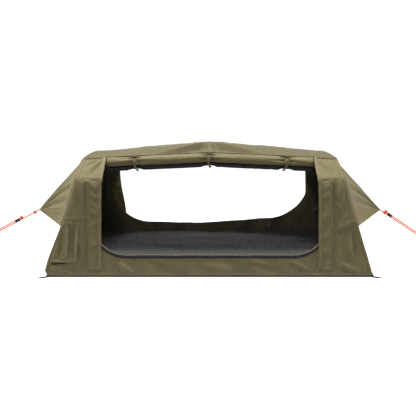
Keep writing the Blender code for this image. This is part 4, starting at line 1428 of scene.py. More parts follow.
@dataclass
class Door:
    """The two door openings: their outline on the skin, with sill panels, zips and flaps."""

    palette: Palette
    half: float = 0.77
    lapel_half: float = 0.702
    lapel_top: float = 0.690
    lapel_low: float = SKIN.leg_run - 0.019
    lapel_sweep: float = 0.018
    seam_out: float = 0.802
    edge_in: float = 0.712
    flap_low: float = 0.05
    flap_high: float = SKIN.leg_run + 0.008
    zip_top: float = SKIN.leg_run - 0.035
    zip_lap: float = 0.005
    zip_width: float = 0.017
    zip_thick: float = 0.0012
    teeth_rise: float = 0.0011
    hem: float = 0.022
    hem_thick: float = 0.0015
    piping: float = 0.0026
    thread: Thread = Thread()
    teeth: Thread = Thread(0.0017, 0.0026, 0.0027, 0.42)
    SILL = {Side.FRONT: 0.146, Side.REAR: 0.19}
    RADIUS = {Side.FRONT: 0.22, Side.REAR: 0.30}
    PORT_RUNS = (0.098, 0.362)
    SLIDER = (0.014, 0.003, 0.010)
    PULL_LEVEL = -0.0085
    SEAM = {End.LEFT: ((-0.808, 0.386), (-0.90, 0.384), (-0.962, 0.386)),
            End.RIGHT: ((0.808, 0.300), (0.87, 0.330), (0.950, 0.374))}
    DENTS = {End.LEFT: ((0.618, 0.085, -0.050, 0.0075), (0.560, 0.080, -0.060, 0.0090),
                        (0.508, 0.088, -0.075, 0.0075), (0.450, 0.080, -0.050, 0.0085),
                        (0.330, 0.085, 0.045, 0.0060), (0.190, 0.080, 0.050, 0.0060)),
             End.RIGHT: ((0.610, 0.085, -0.045, 0.0070), (0.560, 0.080, -0.050, 0.0060),
                         (0.440, 0.075, -0.080, 0.0060), (0.300, 0.075, -0.060, 0.0055),
                         (0.150, 0.080, 0.040, 0.0065))}

    def inner(self, side: Side, run: Array) -> Array:
        """Find the half width of the opening's edge at a run."""
        sill, radius = self.SILL[side], self.RADIUS[side]
        foot = self.half - radius
        drop = np.clip(sill + radius - run, 0, radius)
        edge = foot + np.sqrt(np.clip(radius ** 2 - drop ** 2, 0, None))
        edge = np.where(run <= sill, foot, edge)
        upward = step_up(self.lapel_low, SKIN.eave_run, run)
        lapel = self.lapel_half + (self.lapel_top - self.lapel_half) * upward
        return edge + (lapel - edge) * step_up(self.lapel_low, self.lapel_low + self.lapel_sweep, run)

    def flap_edge(self, side: Side, end: End, run: Array) -> Array:
        """Find the half width at a storm flap's loose edge: the rear ones hang askew."""
        edge = self.edge_in + 0.0016 * np.sin(11 * run) - 0.006 * step_up(0.45, 0.62, run)
        if side is Side.REAR:
            edge = edge + (0.048 if end is End.RIGHT else -0.050 * (1 - step_up(0.22, 0.62, run)))
        return edge

    def edge(self, side: Side, share: Array, out: float) -> Array:
        """Find places beside the opening's edge.

        Args:
            side: Front or rear.
            share: Shares of the way round, left top to right top.
            out: Distance outside the edge.

        Returns:
            Places along the length and up the run, one a row.
        """
        sill, radius = self.SILL[side], self.RADIUS[side]
        centre = self.half - radius
        straight = self.zip_top - sill - radius
        quarter = radius * pi / 2
        total = 2 * (straight + quarter + centre)
        way = np.asarray(share, float) * total
        over = way > total / 2
        way = np.where(over, total - way, way)
        turn = np.clip((way - straight) / radius, 0, pi / 2)
        reach = radius + out
        x = np.where(way <= straight, -self.half - out, -centre - reach * np.cos(turn))
        x = np.where(way > straight + quarter, -centre + way - straight - quarter, x)
        run = np.where(way <= straight, self.zip_top - way, sill + radius - reach * np.sin(turn))
        return coords(np.where(over, -x, x), run)

    def corner_runs(self, side: Side) -> Array:
        """List a corner panel's rows, close where the opening turns."""
        sill, radius = self.SILL[side], self.RADIUS[side]
        arc = sill + radius * (1 - np.cos(np.linspace(0, pi / 2, 30)))
        return np.concatenate([np.linspace(SKIN.floor, sill, 22)[:-1], arc[:-1],
                               np.linspace(arc[-1], self.lapel_low, 36)[:-1],
                               np.linspace(self.lapel_low, SKIN.eave_run - GAP, 44)])

    def hem_band(self, low: Array, high: Array) -> Band:
        """Fold a hem over between two lines on a wall."""
        return Band(low, high, self.hem_thick / 2, self.hem_thick)

    def build(self) -> None:
        """Make everything on both long sides."""
        for side in Side:
            face = Wall(side, wall_reliefs(side))
            self._sill(side, face)
            self._zip(side, face)
            self._slider(side, face)
            for end in End:
                self._corner(side, end, face)
                self._flap(side, end, face)
        self._port_flap(Wall(Side.FRONT, wall_reliefs(Side.FRONT)))

    def _corner(self, side: Side, end: End, face: Wall) -> None:
        """Make the canvas beside a door, with its seam and its lapel, outer and foot hems.

        Args:
            side: Front or rear.
            end: Left or right.
            face: The wall's surface.
        """
        runs = self.corner_runs(side)
        sign = end.value

        def spots(across: Array, up: Array) -> Array:
            run = runs[np.rint(up * (len(runs) - 1)).astype(int)]
            inner = self.inner(side, run)
            return coords(sign * (inner + (SKIN.reach(run) - inner) * across), run)
        panel = panel_on(face, f"{side}_{end}_corner_canvas", (64, len(runs) - 1), spots, -CLOTH / 2,
                         self.palette.lined)
        lapel_runs = np.linspace(self.lapel_low + self.lapel_sweep, SKIN.eave_run - 2 * GAP, 20)
        lapel = coords(sign * (self.inner(side, lapel_runs) + 0.001), lapel_runs)
        inset = np.array([sign * self.hem, 0.0])
        outer_runs = np.linspace(SKIN.floor + 0.004, SKIN.eave_run - 2 * GAP, 90)
        outer = coords(sign * (SKIN.reach(outer_runs) - 0.0005), outer_runs)
        foot = line((sign * (self.half - self.RADIUS[side] + 0.001), SKIN.floor + 0.001),
                    (sign * (SKIN.base_length / 2 - 0.004), SKIN.floor + 0.001))
        seam, seam_width = line(*self.SEAM[end]), np.array([0.0, 0.015])
        bands = [self.hem_band(seam, seam + seam_width), self.hem_band(lapel, lapel + inset),
                 self.hem_band(outer - inset * 0.6, outer), self.hem_band(foot, foot + FOOT_LIFT)]
        rows = [lapel + inset * 0.15, lapel + inset * 0.85, outer - inset * 0.5, outer - inset * 0.12,
                foot + FOOT_LIFT * 0.9, seam + seam_width * 0.15, seam + seam_width * 0.85]
        sew_on(panel, face, self.palette, bands, rows, self.hem_thick + 0.0002)
        settle(panel, "root", "olive_canvas", f"{side}_{end}_corner_panel")

    def _sill(self, side: Side, face: Wall) -> None:
        """Make the low wall under a door, with its hem.

        Args:
            side: Front or rear.
            face: The wall's surface.
        """
        sill = self.SILL[side]
        half = self.half - self.RADIUS[side] - GAP

        def spots(across: Array, up: Array) -> Array:
            return coords((across * 2 - 1) * half, SKIN.floor + (sill - SKIN.floor) * up)
        panel = panel_on(face, f"{side}_sill_canvas", (150, 20), spots, -CLOTH / 2, self.palette.lined)
        foot = line((-half, SKIN.floor + 0.001), (half, SKIN.floor + 0.001))
        sew_on(panel, face, self.palette, [self.hem_band(foot, foot + FOOT_LIFT)], [foot + FOOT_LIFT * 0.9],
               self.hem_thick + 0.0002)
        settle(panel, "root", "olive_canvas", f"{side}_sill_panel")
        2 * half

    def _zip(self, side: Side, face: Wall) -> None:
        """Make a door's zip: tape, teeth, stitching and the piped edge above it.

        Args:
            side: Front or rear.
            face: The wall's surface.
        """
        near, far = self.zip_lap, self.zip_lap + self.zip_width
        rim, low, middle, high, *rows = (self.edge(side, np.linspace(0, 1, 200), out) for out in (
            0.0, near, (near + far) / 2, far, near + 0.002, far - 0.002))
        top = GAP + self.zip_thick
        name = f"{side}_door_zip"
        tape = strip(name, face, self.palette,
                     Band(low, high, GAP + self.zip_thick / 2, self.zip_thick, "zip_tape", 4))
        teeth = self.teeth.stitches(f"{name}_teeth", face, [middle], top + self.teeth_rise / 2,
                                    self.palette["zip_teeth"])
        sewn = self.thread.stitches(f"{name}_thread", face, rows, top + 0.0003, self.palette["zip_teeth"])
        piping = dress(tube(f"{name}_piping", face.at(*rim.T), self.piping, 10), self.palette["canvas_hem"])
        join(tape, [teeth, sewn, piping])
        settle(tape, "root", "zip_tape", f"{side}_zip_track")

    def _slider(self, side: Side, face: Wall) -> None:
        """Make a zip's slider with its bridge and pull tab.

        Args:
            side: Front or rear.
            face: The wall's surface.
        """
        low, high = (Vector(corner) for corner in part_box(f"{side}_zip_slider"))
        run = self.SILL[side] - self.zip_lap - self.zip_width / 2
        seat = face.at(np.array([(low.x + high.x) / 2]), run, GAP + self.zip_thick + self.teeth_rise)[0]
        body = add_shape(bpy.ops.mesh.primitive_cube_add, f"{side}_slider_body", size=1,
                         scale=self.SLIDER)
        points = points_of(body)
        points[:, 2] *= np.where(points[:, 0] > 0, 1.0, 0.62)
        points[:, 1] -= self.SLIDER[1] / 2
        move_points(body, points)
        apply_step(body, "BEVEL", width=0.0008, segments=3, limit_method="ANGLE")
        turns = np.linspace(0, pi, 14)
        arch = coords(0.004 * np.cos(turns), -0.003 - 0.0022 * np.sin(turns), 0.0)
        bridge = tube("slider_bridge", arch, 0.0008, 10)
        wide, high_up = ring_points(20)
        loop = tube("slider_loop", coords(0.0032 * wide, -0.0052, -0.0026 + 0.0032 * high_up), 0.0006, 8,
                    closed=True)
        pull = add_shape(bpy.ops.mesh.primitive_cylinder_add, "slider_pull", vertices=24, radius=0.0036,
                         depth=0.0012, rotation=(pi / 2, 0, 0), location=(0, -0.0052, self.PULL_LEVEL))
        points = points_of(pull)
        below = points[:, 2] < self.PULL_LEVEL
        points[below, 2] -= 0.010
        points[below, 0] *= 0.75
        move_points(pull, points)
        apply_step(pull, "BEVEL", width=0.0003, segments=2, limit_method="ANGLE")
        slider = join(body, [bridge, loop, pull])
        lean = Matrix.Rotation(side.value * SKIN.leg_lean, 4, "X")
        slider.data.transform(Matrix.Translation(seat) @ lean @ Matrix.Diagonal((1, -side.value, 1, 1)))
        face_out(slider)
        smooth(dress(slider, self.palette["zip_slider"]))
        settle(slider, f"{side}_zip_slider", "steel", f"{side}_zip_slider")

    def _flap(self, side: Side, end: End, face: Wall) -> None:
        """Make a storm flap, its seam, its hem and the ridge that the zip presses into it.

        Args:
            side: Front or rear.
            end: Left or right.
            face: The wall's surface.
        """
        sign = end.value
        ridge = sign * (self.half + self.zip_lap + self.zip_width / 2)
        sewn = sign * self.seam_out
        dents = folds(*((sewn, run, sewn - sign * reach, run + slant, depth, 0.013, 1.1, True)
                        for run, reach, slant, depth in self.DENTS[end]))
        groove = sewn - sign * 0.014
        own = Wall(side, (*face.reliefs, *dents), folds((groove, -0.15, groove, 0.85, -0.0009, 0.006),
                                                        (ridge, -0.05, ridge, 0.75, 0.0030, 0.011)))
        offset = GAP + self.zip_thick + GAP + CLOTH / 2

        def spots(across: Array, up: Array) -> Array:
            run = self.flap_low + (self.flap_high - self.flap_low) * up
            edge = self.flap_edge(side, end, run)
            return coords(sign * (self.seam_out + (edge - self.seam_out) * across), run)
        flap = panel_on(own, f"{side}_{end}_flap_canvas", (26, 130), spots, offset, (self.palette["canvas"],))
        top = offset + CLOTH / 2 + self.hem_thick / 2
        ups = np.linspace(0.004, 0.996, 110)
        seam, seam_edge, hem, edge, *rows = (spots(share, ups) for share in (
            0.0, 0.12, 0.76, 0.985, 0.025, 0.10, 0.79, 0.955))
        foot = spots(np.linspace(0, 0.985, 14), 0.004)
        bands = [Band(seam, seam_edge, top - 0.0003, self.hem_thick * 0.6),
                 Band(hem, edge, top, self.hem_thick),
                 Band(foot, foot + (0.0, 0.018), top, self.hem_thick)]
        sew_on(flap, own, self.palette, bands, [*rows, foot + (0.0, 0.015)],
               top + self.hem_thick / 2 + 0.0003)
        settle(flap, f"{side}_{end}_storm_flap", "olive_canvas", f"{side}_{end}_storm_flap")
        width = self.seam_out - float(np.mean(self.flap_edge(side, end, edge[:, 1])))
        round(self.flap_high - self.flap_low, 3)

    def _port_flap(self, face: Wall) -> None:
        """Make the flap over the lead port, loose along its foot, with a lapped slit down it.

        Args:
            face: The front wall's surface.
        """
        low, high = self.PORT_RUNS
        slit = Tuck((-0.920, 0.350), (-0.922, 0.120), 0.0085, 0.045)
        sag = folds((-0.862, 0.36, -0.873, 0.09, 0.0075, 0.015), (-0.897, 0.34, -0.900, 0.14, -0.0040, 0.007),
                    (-0.965, 0.30, -0.995, 0.12, 0.0045, 0.014), (-0.975, 0.33, -0.968, 0.14, -0.0035, 0.007),
                    (-0.86, 0.105, -1.030, 0.105, 0.0070, 0.030),
                    (-0.93, 0.135, -1.01, 0.115, -0.0035, 0.010))
        own = Wall(Side.FRONT, (*face.reliefs, slit, *sag), edge_room=0.02)
        offset = GAP + CLOTH / 2

        def spots(across: Array, up: Array) -> Array:
            near, far = 0.868 - 0.013 * up, 1.026 - 0.071 * up
            return coords(-near - (far - near) * across, low + (high - low) * up)
        flap = panel_on(own, "port_flap_canvas", (60, 90), spots, offset, (self.palette["canvas"],))
        top = offset + CLOTH / 2 + self.hem_thick / 2
        shares = np.linspace(0.004, 0.996, 50)
        hems = ((0.004, 0.10, 0.03, 0.085), (0.90, 0.996, 0.915, 0.97))
        bands = [Band(spots(a, shares), spots(b, shares), top, self.hem_thick) for a, b, *_ in hems]
        bands += [Band(spots(shares, a), spots(shares, b), top, self.hem_thick)
                  for a, b in ((0.004, 0.05), (0.95, 0.996))]
        bands.append(Band(line((-0.968, 0.122), (-0.954, 0.350)), line((-0.924, 0.122), (-0.920, 0.350)),
                          top + 0.0018, 0.0026, "canvas", 4))
        rows = [spots(share, shares) for hem in hems for share in hem[2:]]
        rows += [spots(shares, share) for share in (0.04, 0.96)]
        sew_on(flap, own, self.palette, bands, rows, top + self.hem_thick / 2 + 0.0003)
        settle(flap, "port_flap", "olive_canvas", "port_flap")
        # A black strip behind the flap's loose foot, showing a little below it: its dark edge paints the
        # shadow under the flap.
        port = line((-0.918, 0.0940), (-0.945, 0.0890), (-0.980, 0.0840), (-1.016, 0.0780))
        tape = strip("port_hook_tape", face, self.palette,
                     Band(port, port + (0.0, 0.018), 0.0006, 0.0010, "zip_tape"))
        settle(tape, "root", "zip_tape")


@dataclass(frozen=True)
class Facet:
    """The roof's slack hollow behind the roll: a steep fold falls from the peak towards each side tie."""

    left_foot: float = -0.385
    right_foot: float = 0.395
    depth: float = 0.042
    edge: float = 0.011
    lip: float = 0.004
    lip_width: float = 0.030
    spine: float = 0.40
    spine_width: float = 0.035

    def height(self, a: Array, b: Array) -> Array:
        """Find the hollow's height.

        Args:
            a: Places along the length.
            b: Runs over the arch.

        Returns:
            Heights, negative in the hollow.
        """
        run = np.minimum(b, 2 * SKIN.crest_run - b)
        share = np.clip((SKIN.crest_run - run) / (SKIN.crest_run - SKIN.eave_run), 0, 1)
        deep = 1.3 * step_up(0.02, 0.24, share) * (1 - share) ** 0.6
        sinking = self.depth * (1 - self.spine * np.exp(-(a / (self.spine_width * (0.4 + share))) ** 2))
        total = np.zeros_like(a + b)
        for sign, foot in ((-1, self.left_foot), (1, self.right_foot)):
            inward = 0.72 * sign * (foot * share - a)
            sunk = step_up(-self.edge / 2, self.edge / 2, inward)
            beside = np.clip(inward + self.edge, None, 0) / self.lip_width
            lip = self.lip * np.exp(-beside ** 2) * (1 - sunk)
            total = total + ((a >= 0) == (sign > 0)) * deep * (lip - sinking * sunk)
        return total


@dataclass
class Roof:
    """The roof canvas, its two pairs of valley folds, its eave seams and its end seams."""

    palette: Palette
    columns: int = 230
    rows: int = 128
    seam: float = 0.020
    seam_thick: float = 0.0011
    facing_turn: float = 1.5
    facing_thick: float = 0.0008
    thread: Thread = Thread(0.0052, 0.00045, 0.0092)
    FOLDS = ((-0.20, 0.72, -0.50, 0.06, -0.0075, 0.017, 0.6), (-0.28, 0.80, -0.60, 0.15, 0.0060, 0.022, 0.5),
             (0.22, 0.72, 0.52, 0.06, -0.0075, 0.017, 0.6), (0.30, 0.82, 0.66, 0.18, 0.0060, 0.022, 0.5),
             (-0.008, 0.04, -0.03, 0.60, 0.0050, 0.022, 1.2, True),
             (-0.51, 0.02, -0.44, 0.55, 0.0060, 0.018, 1.4, True),
             (-0.47, 0.02, -0.36, 0.35, -0.0045, 0.014, 1.2, True),
             (0.51, 0.02, 0.45, 0.55, 0.0060, 0.018, 1.4, True),
             (0.47, 0.02, 0.37, 0.35, -0.0045, 0.014, 1.2, True))

    def reliefs(self) -> tuple[Relief, ...]:
        """List the roof's folds over length and run, the same on both slopes."""
        crest, slope = SKIN.crest_run, SKIN.crest_run - SKIN.eave_run
        both = [(a, crest - side * slope * (1 - start), b, crest - side * slope * (1 - stop), *size)
                for side in (1, -1) for a, start, b, stop, *size in self.FOLDS]
        return (Ripples(31, 0.0011, 0.12, 0.5), Ripples(33, 0.0005, 0.04, 0.12), Facet(), *folds(*both))

    def build(self) -> None:
        """Make the roof."""
        face = Wall(Side.FRONT, self.reliefs(), sunk=True)
        span = 2 * (SKIN.crest_run - SKIN.eave_run)

        def spots(across: Array, up: Array) -> Array:
            run = SKIN.eave_run + span * up
            mark = across * 2 - 1
            return coords(mark * (0.5 + 0.5 * mark * mark) * SKIN.reach(run), run)
        # The roof panel and its seams wear the darker copy of the canvas, which paints shade on the roof.
        roof = panel_on(face, "roof_canvas_panel", (self.columns, self.rows), spots, -CLOTH / 2,
                        (self.palette["roof_cloth"], self.palette["canvas_lining"]))
        shares = np.linspace(0.001, 0.999, 180)
        rim, inner = 0.0004, 0.0004 + self.seam / span
        seams = [(spots(shares, low), spots(shares, high))
                 for low, high in ((rim, inner), (1 - inner, 1 - rim))]
        runs = SKIN.eave_run + span * np.linspace(0.002, 0.998, 120)
        seams += [tuple(coords(end.value * (SKIN.reach(runs) - inset), runs) for inset in (self.seam, 0.0005))
                  for end in End]
        bands = [Band(low, high, self.seam_thick / 2, self.seam_thick, "roof_cloth") for low, high in seams]
        rows = [low + (high - low) * share for low, high in seams for share in (0.15, 0.85)]
        more = [self._lap(side, end) for side in Side for end in End]
        more += [self._facing(side) for side in Side]
        sew_on(roof, face, self.palette, bands, rows, self.seam_thick + 0.0002, self.thread, more)
        settle(roof, "root", "roof_canvas", "roof_panel")

    def _facing(self, side: Side) -> Piece:
        """Hang the strip that the rolled doors are sewn to, from the eave down behind the canvas roll.

        Args:
            side: Front or rear.

        Returns:
            The strip.
        """
        rolls = Rolls(self.palette)

        def place(along: Array, down: Array) -> Array:
            out = outwards(pi / 2 - 0.10 + self.facing_turn * down, side.value)
            return rolls.centre(rolls.half * (2 * along - 1), side) + out * (rolls.radius + self.facing_thick)
        sheet = grid(f"{side}_roof_facing", (120, 8), place, (2 * rolls.half, 0.05))
        return thicken(sheet, (self.palette["canvas_lining"],), self.facing_thick)

    def _lap(self, side: Side, end: End) -> Piece:
        """Lap the roof's edge over a shoulder, where no roll hangs below it.

        Args:
            side: Front or rear.
            end: Left or right.

        Returns:
            The lapped strip.
        """
        run = SKIN.eave_run + 0.008
        high = line((end.value * 0.713, run), (end.value * (float(SKIN.reach(SKIN.eave_run)) - 0.002), run))
        # The lap wears the roof's darker copy of the canvas, which paints shade on it.
        return strip(f"{side}_{end}_roof_lap", Wall(side, wall_reliefs(side)), self.palette,
                     Band(high - (0.0, 0.018), high, 0.0022, 0.0018, "roof_cloth"))


@dataclass(frozen=True)
class HoodFace:
    """A hood's surface. Its two directions are shares: along its hoop, and out to its tip."""

    end: End
    low_run: float = 0.338
    tip_reach: float = 0.153
    tip_height: float = 0.374
    tip_half: float = 0.03
    puff: float = 0.016
    reliefs: tuple[Relief, ...] = ()

    @property
    def tip_x(self) -> float:
        """How far out the hood's tip lies."""
        return SKIN.base_length / 2 + self.tip_reach

    def share(self, run: float) -> float:
        """Find the share along the hoop at a run."""
        return (run - self.low_run) / (2 * (SKIN.crest_run - self.low_run))

    def root(self, along: Array) -> Array:
        """Find points where the hood leaves its hoop."""
        run = self.low_run + (2 * (SKIN.crest_run - self.low_run)) * along
        y, z = SKIN.section(run, -CLOTH / 2)
        shift = (GAP + CLOTH / 2) / cos(SKIN.end_lean)
        return SKIN.slump(coords(self.end.value * (SKIN.end_x(z) + shift), y, z))

    def at(self, along: Array, out: Array, offset: Array | float = 0.0) -> Array:
        """Find points of the hood.

        Args:
            along: Shares of the way over the hoop, front low to rear low.
            out: Shares of the way from the hoop to the tip.
            offset: Distances outwards from the hood's middle surface.

        Returns:
            Points, one a row.
        """
        along, out = np.broadcast_arrays(np.asarray(along, float), np.asarray(out, float))
        root = self.root(along)
        tip = coords(self.end.value * self.tip_x, (along * 2 - 1) * self.tip_half, self.tip_height)
        beside = self.root(np.clip(along + 0.002, 0, 1)) - self.root(np.clip(along - 0.002, 0, 1))
        away = unit(np.cross(beside, tip - root))
        away *= np.sign(away[:, 1] * root[:, 1] + away[:, 2] * (root[:, 2] - self.tip_height))[:, None]
        near = step_up(0, 0.10, out) * (1 - 0.6 * step_up(0.90, 1.0, out))
        leg = np.minimum(along, 1 - along)
        beside_leg = step_up(0.0, 0.04, leg) * (1 - step_up(0.15, 0.22, leg))
        puff = self.puff * step_up(0, 0.34, out) * (1 - step_up(0.30, 0.95, out)) * beside_leg
        lift = offset + summed(self.reliefs, along, out) * near + puff
        return root + (tip - root) * out[:, None] + away * lift[:, None]

    def chart(self, along: Array, out: Array) -> Array:
        """Unroll the hood flat round its tip, so that the weave runs straight.

        Args:
            along: Shares over the hoop.
            out: Shares to the tip.

        Returns:
            Flat places in metres, one a row.
        """
        marks = np.linspace(0, 1, 400)
        spokes = self.root(marks) - (self.end.value * self.tip_x, 0, self.tip_height)
        ways = unit(spokes)
        turns = np.arccos(np.clip(np.sum(ways[1:] * ways[:-1], axis=1), -1, 1))
        bearing = np.interp(along, marks, np.concatenate([[0], np.cumsum(turns)]))
        reach = np.interp(along, marks, np.linalg.norm(spokes, axis=1)) * (1 - out)
        return coords(reach * np.cos(bearing), reach * np.sin(bearing))


@dataclass(frozen=True)
class Rays:
    """Folds that fan out from a hood's tip: ridges at shares of the hoop, wider near the hoop."""

    places: tuple[tuple[float, float, float], ...]
    peak: float = 0.55

    def height(self, a: Array, b: Array) -> Array:
        """Find the rays' height.

        Args:
            a: Shares along the hoop.
            b: Shares out to the tip.

        Returns:
            Heights of the folds.
        """
        total = np.zeros_like(a + b)
        body = np.sin(pi * np.clip(b, 0, 1) ** (np.log(0.5) / np.log(self.peak))) ** 0.8
        for middle, width, rise in self.places:
            total = total + rise * body * np.exp(-((a - middle) / width) ** 2)
        return total


@dataclass
class EndCanvas:
    """The leaning end walls with their vents, and the hoods drawn out over them."""

    palette: Palette
    vent_half: float = 0.18
    vent_high: float = SKIN.hoop_height - 0.188
    vent_height: float = 0.18
    vent_lap: float = 0.014
    mesh_thick: float = 0.0008
    binding: float = 0.011
    binding_thick: float = 0.0013
    thread: Thread = Thread()

    def build(self) -> None:
        """Make both ends."""
        for end in End:
            self._wall(end)
            self._vent(end)
            self._hood(end)

    def _half_width(self, z: Array) -> Array:
        """Find half the end wall's width at a height."""
        runs = np.linspace(0, SKIN.crest_run, 600)
        y, level = SKIN.section(runs, -(CLOTH + GAP))
        return np.interp(z, level[:560], -y[:560])

    def _wall(self, end: End) -> None:
        """Make an end wall with its window, the window's binding and its stitching.

        Args:
            end: Left or right.
        """
        reliefs = (Ripples(41 + end.value, 0.0022, 0.12, 0.5), Ripples(45 + end.value, 0.0008, 0.05, 0.14))
        face, flat_face = EndFace(end, reliefs), EndFace(end)
        top = SKIN.hoop_height - CLOTH - GAP
        low, high, rim = self.vent_high - self.vent_height, self.vent_high, 0.05
        levels = np.concatenate([np.linspace(SKIN.floor + 0.0008, low, 34)[:-1],
                                 np.linspace(low, high, 19)[:-1], np.linspace(high, top, 24)])
        marks = np.concatenate([np.linspace(-2, -1, 25)[:-1], np.linspace(-1, 1, 37)[:-1],
                                np.linspace(1, 2, 25)])

        def place(across: Array, up: Array) -> Array:
            mark = marks[np.rint(across * (len(marks) - 1)).astype(int)]
            z = levels[np.rint(up * (len(levels) - 1)).astype(int)]
            half = self._half_width(z)
            outer = self.vent_half + (half - self.vent_half) * (np.abs(mark) - 1)
            y = np.where(np.abs(mark) <= 1, mark * self.vent_half, np.sign(mark) * outer)
            room = step_up(0, rim, half - np.abs(y)) * step_up(0, rim, z) * step_up(0, rim, top - z)
            flat = flat_face.at(y, z, -CLOTH / 2)
            return flat + (face.at(y, z, -CLOTH / 2) - flat) * room[:, None]
        wall = grid(f"{end}_end_canvas", (len(marks) - 1, len(levels) - 1), place, (1.05, 0.8))
        drop_faces(wall, lambda cell: abs(cell.center.y) < self.vent_half and low < cell.center.z < high)
        thicken(wall, self.palette.lined, CLOTH)

        def corner(side: int, upper: bool, out: float) -> tuple[float, float]:
            return side * (self.vent_half + out), high + out if upper else low - out
        edges = (((-1, False), (1, False)), ((-1, True), (1, True)), ((-1, False), (-1, True)),
                 ((1, False), (1, True)))
        pairs = [[np.linspace(corner(*start, out), corner(*stop, out), 30) for out in (0.0, self.binding)]
                 for start, stop in edges]
        bands = [Band(*pair, self.binding_thick / 2, self.binding_thick, "webbing") for pair in pairs]
        rows = [inner + (outer - inner) * 0.8 for inner, outer in pairs]
        sew_on(wall, face, self.palette, bands, rows, self.binding_thick + 0.0003)
        settle(wall, "root", "olive_canvas", f"{end}_end_wall")

    def _vent(self, end: End) -> None:
        """Make the insect mesh behind a vent window.

        Args:
            end: Left or right.
        """
        sag = Fold((-0.1, self.vent_high - 0.09), (0.1, self.vent_high - 0.09), -0.004, 0.09)
        face = EndFace(end, (Ripples(51, 0.0006, 0.03, 0.1),))
        low = self.vent_high - self.vent_height - self.vent_lap
        size = (2 * (self.vent_half + self.vent_lap), self.vent_height + 2 * self.vent_lap)
        depth = CLOTH + 4 * GAP + self.mesh_thick / 2 + 0.0012

        def place(across: Array, up: Array) -> Array:
            y, z = (across - 0.5) * size[0], low + size[1] * up
            return face.at(y, z, sag.height(y, z) * np.sin(pi * across) * np.sin(pi * up) - depth)
        mesh = thicken(grid(f"{end}_vent_screen", (48, 26), place, size), (self.palette["vent_mesh"],),
                       self.mesh_thick)
        settle(mesh, "root", "black_mesh", f"{end}_vent_mesh")

    def hood_face(self, end: End) -> HoodFace:
        """Lay out a hood's folds: they fan out from its tip, and its top hangs slack.

        Args:
            end: Left or right.

        Returns:
            The hood's surface.
        """
        shoulder, eave = (HoodFace(end).share(run) for run in (SKIN.leg_run, SKIN.eave_run))
        rays = [(shoulder + 0.010, 0.008, 0.0100), (shoulder - 0.012, 0.008, -0.0150),
                (shoulder - 0.040, 0.010, 0.0070), (shoulder * 0.60, 0.008, -0.0090),
                (shoulder * 0.42, 0.012, 0.0080), (shoulder * 0.22, 0.008, -0.0070),
                (shoulder + 0.034, 0.007, -0.0120), (shoulder + 0.056, 0.008, 0.0080),
                (eave - 0.030, 0.006, -0.0080), (eave - 0.010, 0.007, 0.0060), (eave + 0.030, 0.010, -0.0090),
                (eave + 0.060, 0.012, 0.0050), (eave + 0.090, 0.014, -0.0070)]
        rays += [(1 - middle, width, rise) for middle, width, rise in rays]
        rays += [(0.5, 0.03, -0.0060), (0.44, 0.015, -0.0030), (0.56, 0.015, -0.0030)]
        slack = 0.006 if end is End.LEFT else 0.027
        sag = Rays(((eave, 0.055, -slack), (1 - eave, 0.055, -slack), (0.5, 0.12, -0.010)), peak=0.22)
        wrinkles = ((0.05, 0.0030), (0.08, -0.0034), (0.115, 0.0036), (0.14, -0.0034), (0.185, 0.0034),
                    (0.215, 0.0030), (0.235, -0.0034), (0.265, 0.0034), (0.31, 0.0024), (0.69, 0.0024),
                    (0.735, 0.0034), (0.765, -0.0034), (0.815, 0.0034), (0.86, -0.0034), (0.89, 0.0036),
                    (0.92, -0.0034), (0.95, 0.0030))
        fine = Rays(tuple((middle, 0.0035, rise) for middle, rise in wrinkles), peak=0.62)
        soft = Ripples(61 + end.value, 0.0010, 0.10, 0.4)
        return HoodFace(end, reliefs=(Rays(tuple(rays)), sag, fine, soft))

    def _hood(self, end: End) -> None:
        """Make a hood with its hems, its tip patch and its stitching.

        Args:
            end: Left or right.
        """
        face = self.hood_face(end)
        eave = face.share(SKIN.eave_run)
        hood = thicken(grid(f"{end}_hood_canvas", (320, 46), face.at, chart=face.chart), self.palette.lined,
                       CLOTH, (end.value * 0.95, 0, 0.3))
        top = CLOTH / 2 + 0.0006
        outs, marks = np.linspace(0.01, 0.97, 60), np.linspace(0.003, 0.997, 240)
        bands = [Band(coords(a, outs), coords(b, outs), top, 0.0012)
                 for a, b in ((0.0006, 0.016), (0.984, 0.9994))]
        bands += [Band(coords(marks, a), coords(marks, b), top, thick)
                  for a, b, thick in ((0.004, 0.05, 0.0012), (0.90, 0.996, 0.0014))]
        rows = [coords(share, outs) for share in (0.003, 0.013, 0.987, 0.997, eave + 0.004, eave + 0.014,
                                                  1 - eave - 0.004, 1 - eave - 0.014)]
        rows += [coords(marks, share) for share in (0.012, 0.042, 0.915, 0.985)]
        sew_on(hood, face, self.palette, bands, rows, top + 0.0009)
        settle(hood, "root", "olive_canvas", f"{end}_hood")


